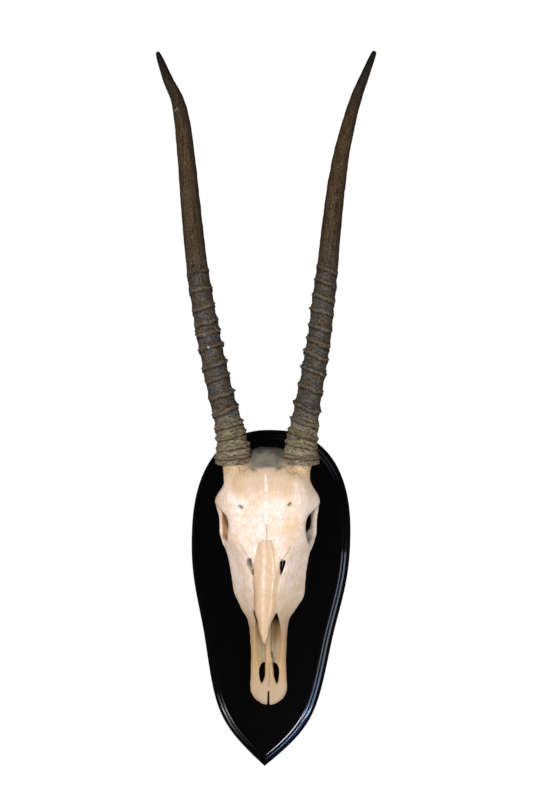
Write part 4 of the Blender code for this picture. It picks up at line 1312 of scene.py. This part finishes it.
def horn_relief(name, s, turn, spots):
    """How far each point stands out from the plain girth, and the masks for the material."""
    inward = np.cos(turn)
    around = np.stack([np.cos(turn) * ROUND_RADIUS, np.sin(turn) * ROUND_RADIUS], 1)
    unrolled = np.column_stack([around, s])
    waver = 2.2 * unevenness(unrolled, 13, len(name)) + unevenness(unrolled, 5, len(name))
    tilt = np.tan(RING_TILT[name]) * table_value(TILT_SHARE, s)
    place = s - ROUND_RADIUS * tilt * (inward + 0.16 * np.sin(2 * turn)) - waver * fade(s, 0, 30)
    out, crest, under = grow_rings(name, turn, place, unrolled)
    out *= 1 + 0.35 * unevenness(unrolled, 2.6, 3.3)

    wrinkled = fade(s, WRINKLED_LENGTH, 35)
    drawn = np.column_stack([around, 3.2 * place])
    folds = ridged(drawn, 13, 6.6)
    fine_folds = ridged(drawn, 5.5, 9.9)
    out += wrinkled * (2.0 * folds + 1.0 * fine_folds - 1.1)
    out += (1 - wrinkled) * fade(s, 350, 250) * (0.35 * fine_folds + 0.3 * folds)
    out += (0.3 + 0.7 * wrinkled) * unevenness(spots, 5, 9.1) + 0.5 * unevenness(spots, 17, 2.4)
    out += (0.15 + 0.5 * wrinkled) * unevenness(spots, 2.3, 41.0)
    pitted = fade(s, 55, 15) * pits(spots, 3.0, 7.7)
    out -= 1.2 * pitted

    chip = np.zeros(len(s))
    for points, half, sunk, dark, pale in MARKS[name]:
        mark = soft_line(np.mod(turn, 2 * pi) * ROUND_RADIUS, s, points, half)
        out -= sunk * mark
        under = np.maximum(under, dark * mark)
        chip = np.maximum(chip, pale * mark)
    grain = unevenness(np.column_stack([around / 1.9, s / 60]), 1, 14.2)
    out += 0.25 * grain * fade(s, 150, 330) * fade(s, 640, 560)
    return out, {
        "crest": crest, "under": under, "pitted": pitted, "along": s,
        "folds": np.maximum(folds, 0.7 * fine_folds), "chip": chip, "flank": np.abs(inward)}


# %% Grow a horn
SHEATH_RISE = 5.0
# The hollow of the foot: (depth, share of the rim's radius).
SHEATH_HOLLOW = ((0, 0.86), (6, 0.83), (24, 0.74))
TIP_WORN = 20


def hollow_foot(bm, name):
    """Sinks the foot of the sheath in three steps, so that it can sit over its core of bone."""
    ends = [face for face in bm.faces if len(face.verts) > 4]
    foot = min(ends, key=lambda face: face.calc_center_median().z)
    centre = at(*HORN_LINES[name][0])
    up = (at(*HORN_LINES[name][1]) - centre).normalized()
    rim = [vert.co.copy() for vert in foot.verts]
    for number, (depth, share) in enumerate(SHEATH_HOLLOW):
        region = [foot, *foot.edges, *foot.verts] if number else [foot]
        grown = bmesh.ops.extrude_face_region(bm, geom=region)["geom"]
        foot = next(part for part in grown if isinstance(part, bmesh.types.BMFace))
        for vert, outer in zip(foot.verts, rim):
            vert.co = centre + (outer - centre) * share + up * depth * MM
    bmesh.ops.recalc_face_normals(bm, faces=bm.faces)


def make_horn(name, material):
    fine, travelled = centre_line(HORN_LINES[name])
    bm = straight_rod(travelled[-1])
    rod_points = np.array([vert.co for vert in bm.verts])
    s = rod_points[:, 2]
    turn = np.arctan2(rod_points[:, 1], rod_points[:, 0])

    def on_line(places):
        return np.stack([np.interp(places, travelled, fine[:, axis]) for axis in range(3)], 1)

    run = on_line(s + 4) - on_line(s - 4)
    run /= np.linalg.norm(run, axis=1)[:, None]
    forward = np.array((0, 1, 0)) - run * run[:, 1:2]
    forward /= np.linalg.norm(forward, axis=1)[:, None]
    inner = -1 if HORN_LINES[name][0][0] < 0 else 1
    side = inner * np.cross(run, forward)
    girth = table_value(HORN_GIRTH[name], s)
    around = side * np.cos(turn)[:, None] + forward * (np.sin(turn) * HORN_DEPTH_RATIO)[:, None]
    plain = on_line(s) + around * girth[:, None]
    out, masks = horn_relief(name, s, turn, plain)
    out *= fade(s, travelled[-1], travelled[-1] - TIP_WORN)
    hem = SHEATH_RISE + 2.4 * unevenness(np.stack([np.cos(turn), np.sin(turn), 0 * s], 1), 0.45, 5.5)
    curl = -2.6 * fade(s, 3.5, 0)
    placed = plain + around * (out + curl)[:, None] + run * (hem * fade(s, 20, 0))[:, None]
    layers = {mask: bm.verts.layers.float.new(mask) for mask in masks}
    straight = bm.verts.layers.float_vector.new("straight")
    unbent = np.stack([np.cos(turn) * girth, np.sin(turn) * girth, s], 1) * MM
    for number, vert in enumerate(bm.verts):
        vert.co = at(*placed[number])
        vert[straight] = unbent[number]
        for mask, layer in layers.items():
            vert[layer] = masks[mask][number]
    hollow_foot(bm, name)
    horn = mesh_object(bm, f"{name}_horn_sheath", material)
    horn.data.transform(skull_lean)
    return horn


# %% [markdown]
# ## Horn
#
# Horn is keratin, the stuff of fingernails, laid down in sheets. Low down it is grey with dust and dried skin
# in its wrinkles, and the crests of the wrinkles are paler, a painted highlight. Over the ringed stretch it
# is blue-grey between the rings, partly its own tone and partly a painted sheen, the crests of the rings are
# rubbed brown, and the grooves under them are painted dark as shade. Further up it is dark brown with a grain
# along its length, painted darker on both sides as shade, and almost black at the tip. The coats that follow
# "along" start and end at a distance along the horn in millimetres.

# %% Horn material
HORN_PATTERNS = {"mottle": (11, 1, 5), "flecks": (1.8, 1, 4)}
HORN_GRAIN = {"grain": (1.3, 0.035, 4)}
HORN_MASKS = ("crest", "under", "pitted", "along", "folds", "chip", "flank")
DUST_AND_HIGHLIGHT_COATS = (
    ("#8C8169", 1.0, ("flecks", 0.43, 0.57)),
    # A painted highlight: the crests of the wrinkles are paler.
    ("#A79B80", 1.0, ("folds",), ("flecks", 0.36, 0.56, 0.25, 0.85)))
BROWN_COATS = (
    ("#463626", 1.0, ("grain", 0.38, 0.62)),
    ("#6A5638", 0.7, ("flecks", 0.5, 0.62)),
    # Painted shade: near black on the horn's two sides, where it turns away from the front.
    ("#262624", 0.7, ("flank", 0.55, 1.0)))
RINGED_COATS = (
    ("#302823", 1.0, ("mottle", 0.42, 0.58)),
    ("#615A4C", 0.42, ("flecks", 0.5, 0.6)),
    ("#6E5D46", 0.6, ("folds",), ("flecks", 0.38, 0.6)))
WEAR_AND_SHADE_COATS = (
    ("#1F1B19", 1.0, ("along", 520, 630)),
    ("#6E5C45", 1.0, ("crest",), ("flecks", 0.42, 0.56, 0.1, 1.0), ("along", 340, 270, 0.0, 0.68)),
    # Painted shade, nearly black, in the grooves under the rings; the nick and the notch are darkened the
    # same way.
    ("#15110E", 1.0, ("under",), ("along", 340, 300, 0.0, 0.75)),
    ("#2A221A", 0.75, ("pitted",)),
    ("#CFC8BA", 1.0, ("chip",)))


def make_horn_material():
    material, tree = empty_material("ringed horn")
    place = add_node(tree, "ShaderNodeTexCoord", {}, out="Object")
    unbent = add_node(tree, "ShaderNodeAttribute", {}, out="Vector", attribute_name="straight")
    sources = noise_patterns(tree, place, HORN_PATTERNS) | noise_patterns(tree, unbent, HORN_GRAIN)
    sources |= kept_masks(tree, HORN_MASKS)
    dust_and_highlight = lay_coats(tree, hex_colour("#231D16"), sources, DUST_AND_HIGHLIGHT_COATS)
    brown = lay_coats(tree, hex_colour("#1C1611"), sources, BROWN_COATS)
    by_height = ((dust_and_highlight, 0.9, ("along", 95, 35)), (brown, 1.0, ("along", 235, 345)))
    # The blue-grey ground is partly the horn's own tone and partly a painted sheen between the rings.
    tone = lay_coats(tree, hex_colour("#27333C"), sources, RINGED_COATS + by_height + WEAR_AND_SHADE_COATS)

    grain_bump = add_node(tree, "ShaderNodeBump", {
        "Height": sources["grain"], "Strength": 0.5, "Distance": 0.4 * MM})
    fleck_bump = add_node(tree, "ShaderNodeBump", {
        "Height": sources["flecks"], "Strength": 0.7, "Distance": 0.5 * MM, "Normal": grain_bump})
    rough = add_node(tree, "ShaderNodeMapRange", {
        "Value": sources["along"], "From Min": 60, "From Max": 160, "To Min": 0.75, "To Max": 0.5})
    shader = add_node(tree, "ShaderNodeBsdfPrincipled", {
        "Base Color": tone, "Roughness": rough, "Normal": fleck_bump, "IOR": 1.54})
    add_node(tree, "ShaderNodeOutputMaterial", {"Surface": shader})
    return material


horn_material = make_horn_material()
for name in HORN_LINES:
    horn = make_horn(name, horn_material)
    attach(horn, "root")
    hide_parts(f"horn_{name}")
    print(horn.name, "faces:", len(horn.data.polygons))


# %% [markdown]
# ## The screws
#
# Two countersunk wood screws come through the board from behind and bite into the base of the skull. Only
# their heads show, sunk in the back of the board. A screw is a turned thing, so one profile is spun round
# its axis, and the cross in the head is cut out afterwards.

# %% Zinc plated steel
STEEL_PATTERNS = {"grit": (0.8, 1, 3)}


def make_screw_steel():
    material, tree = empty_material("zinc plated steel")
    place = add_node(tree, "ShaderNodeTexCoord", {}, out="Object")
    patterns = noise_patterns(tree, place, STEEL_PATTERNS)
    tone = lay_coats(tree, hex_colour("#A9A79B"), patterns, [("#D2D3D0", 1.0, ("grit",))])
    rough = add_node(tree, "ShaderNodeMapRange", {"Value": patterns["grit"], "To Min": 0.25, "To Max": 0.42})
    shader = add_node(tree, "ShaderNodeBsdfPrincipled", {
        "Base Color": tone, "Roughness": rough, "Metallic": 1.0})
    add_node(tree, "ShaderNodeOutputMaterial", {"Surface": shader})
    return material


# %% Turn the screws
SCREW_LENGTH = 42.0
HEAD_EDGE = 0.2
HEAD_RIM = 0.6
THREAD_START = 12.0
THREAD_PITCH = 1.8
THREAD_ROOT = 1.55
POINT_LENGTH = 4
TURNING_STEPS = 36
# The cross in the head: the width and length of an arm, and the depth.
CROSS = (1.1, 5.2, 2.0)


def screw_profile():
    """(depth, radius) down the side of a screw, from the middle of its head to its point."""
    end = SCREW_RECESS + SCREW_LENGTH
    neck = SCREW_RECESS + SCREW_HEAD_HEIGHT - HEAD_EDGE
    profile = [
        (SCREW_RECESS, 0), (SCREW_RECESS, SCREW_HEAD_RADIUS - HEAD_EDGE),
        (SCREW_RECESS + HEAD_EDGE, SCREW_HEAD_RADIUS), (SCREW_RECESS + HEAD_RIM, SCREW_HEAD_RADIUS),
        (neck, SCREW_SHANK_RADIUS), (THREAD_START, SCREW_SHANK_RADIUS)]
    place = THREAD_START + THREAD_PITCH / 2
    while place < end - POINT_LENGTH - 1:
        profile += [(place, THREAD_ROOT), (place + THREAD_PITCH / 2, SCREW_SHANK_RADIUS)]
        place += THREAD_PITCH
    return profile + [(end - POINT_LENGTH, THREAD_ROOT), (end, 0)]


def make_screw(name, height, material):
    centre = skull_lean @ at(0, 0, height)
    bm = bmesh.new()
    line = [bm.verts.new(centre + at(radius, depth, 0)) for depth, radius in screw_profile()]
    edges = [bm.edges.new(pair) for pair in zip(line, line[1:])]
    bmesh.ops.spin(
        bm, geom=line + edges, cent=centre, axis=(0, 1, 0), angle=2 * pi, steps=TURNING_STEPS, use_merge=True)
    bmesh.ops.remove_doubles(bm, verts=bm.verts, dist=0.01 * MM)
    bmesh.ops.recalc_face_normals(bm, faces=bm.faces)
    screw = mesh_object(bm, name, material)
    width, length, deep = CROSS
    cross = bmesh.new()
    for across, up in ((width, length), (length, width)):
        size = Matrix.Diagonal((across * MM, 2 * deep * MM, up * MM, 1))
        placed = Matrix.Translation(centre + at(0, SCREW_RECESS, 0)) @ size
        bmesh.ops.create_cube(cross, size=1, matrix=placed)
    combine(screw, mesh_object(cross, "cross_cutter", None), "DIFFERENCE", own_overlaps=True)
    screw.data.shade_smooth()
    screw.data.set_sharp_from_angle(angle=radians(30))
    return screw


screw_steel = make_screw_steel()
for name, height in SCREW_HEIGHTS.items():
    screw = make_screw(f"{name}_mounting_screw", height, screw_steel)
    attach(screw, "root")
    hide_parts(f"mounting_screw_{name}")
    print(screw.name, "faces:", len(screw.data.polygons))
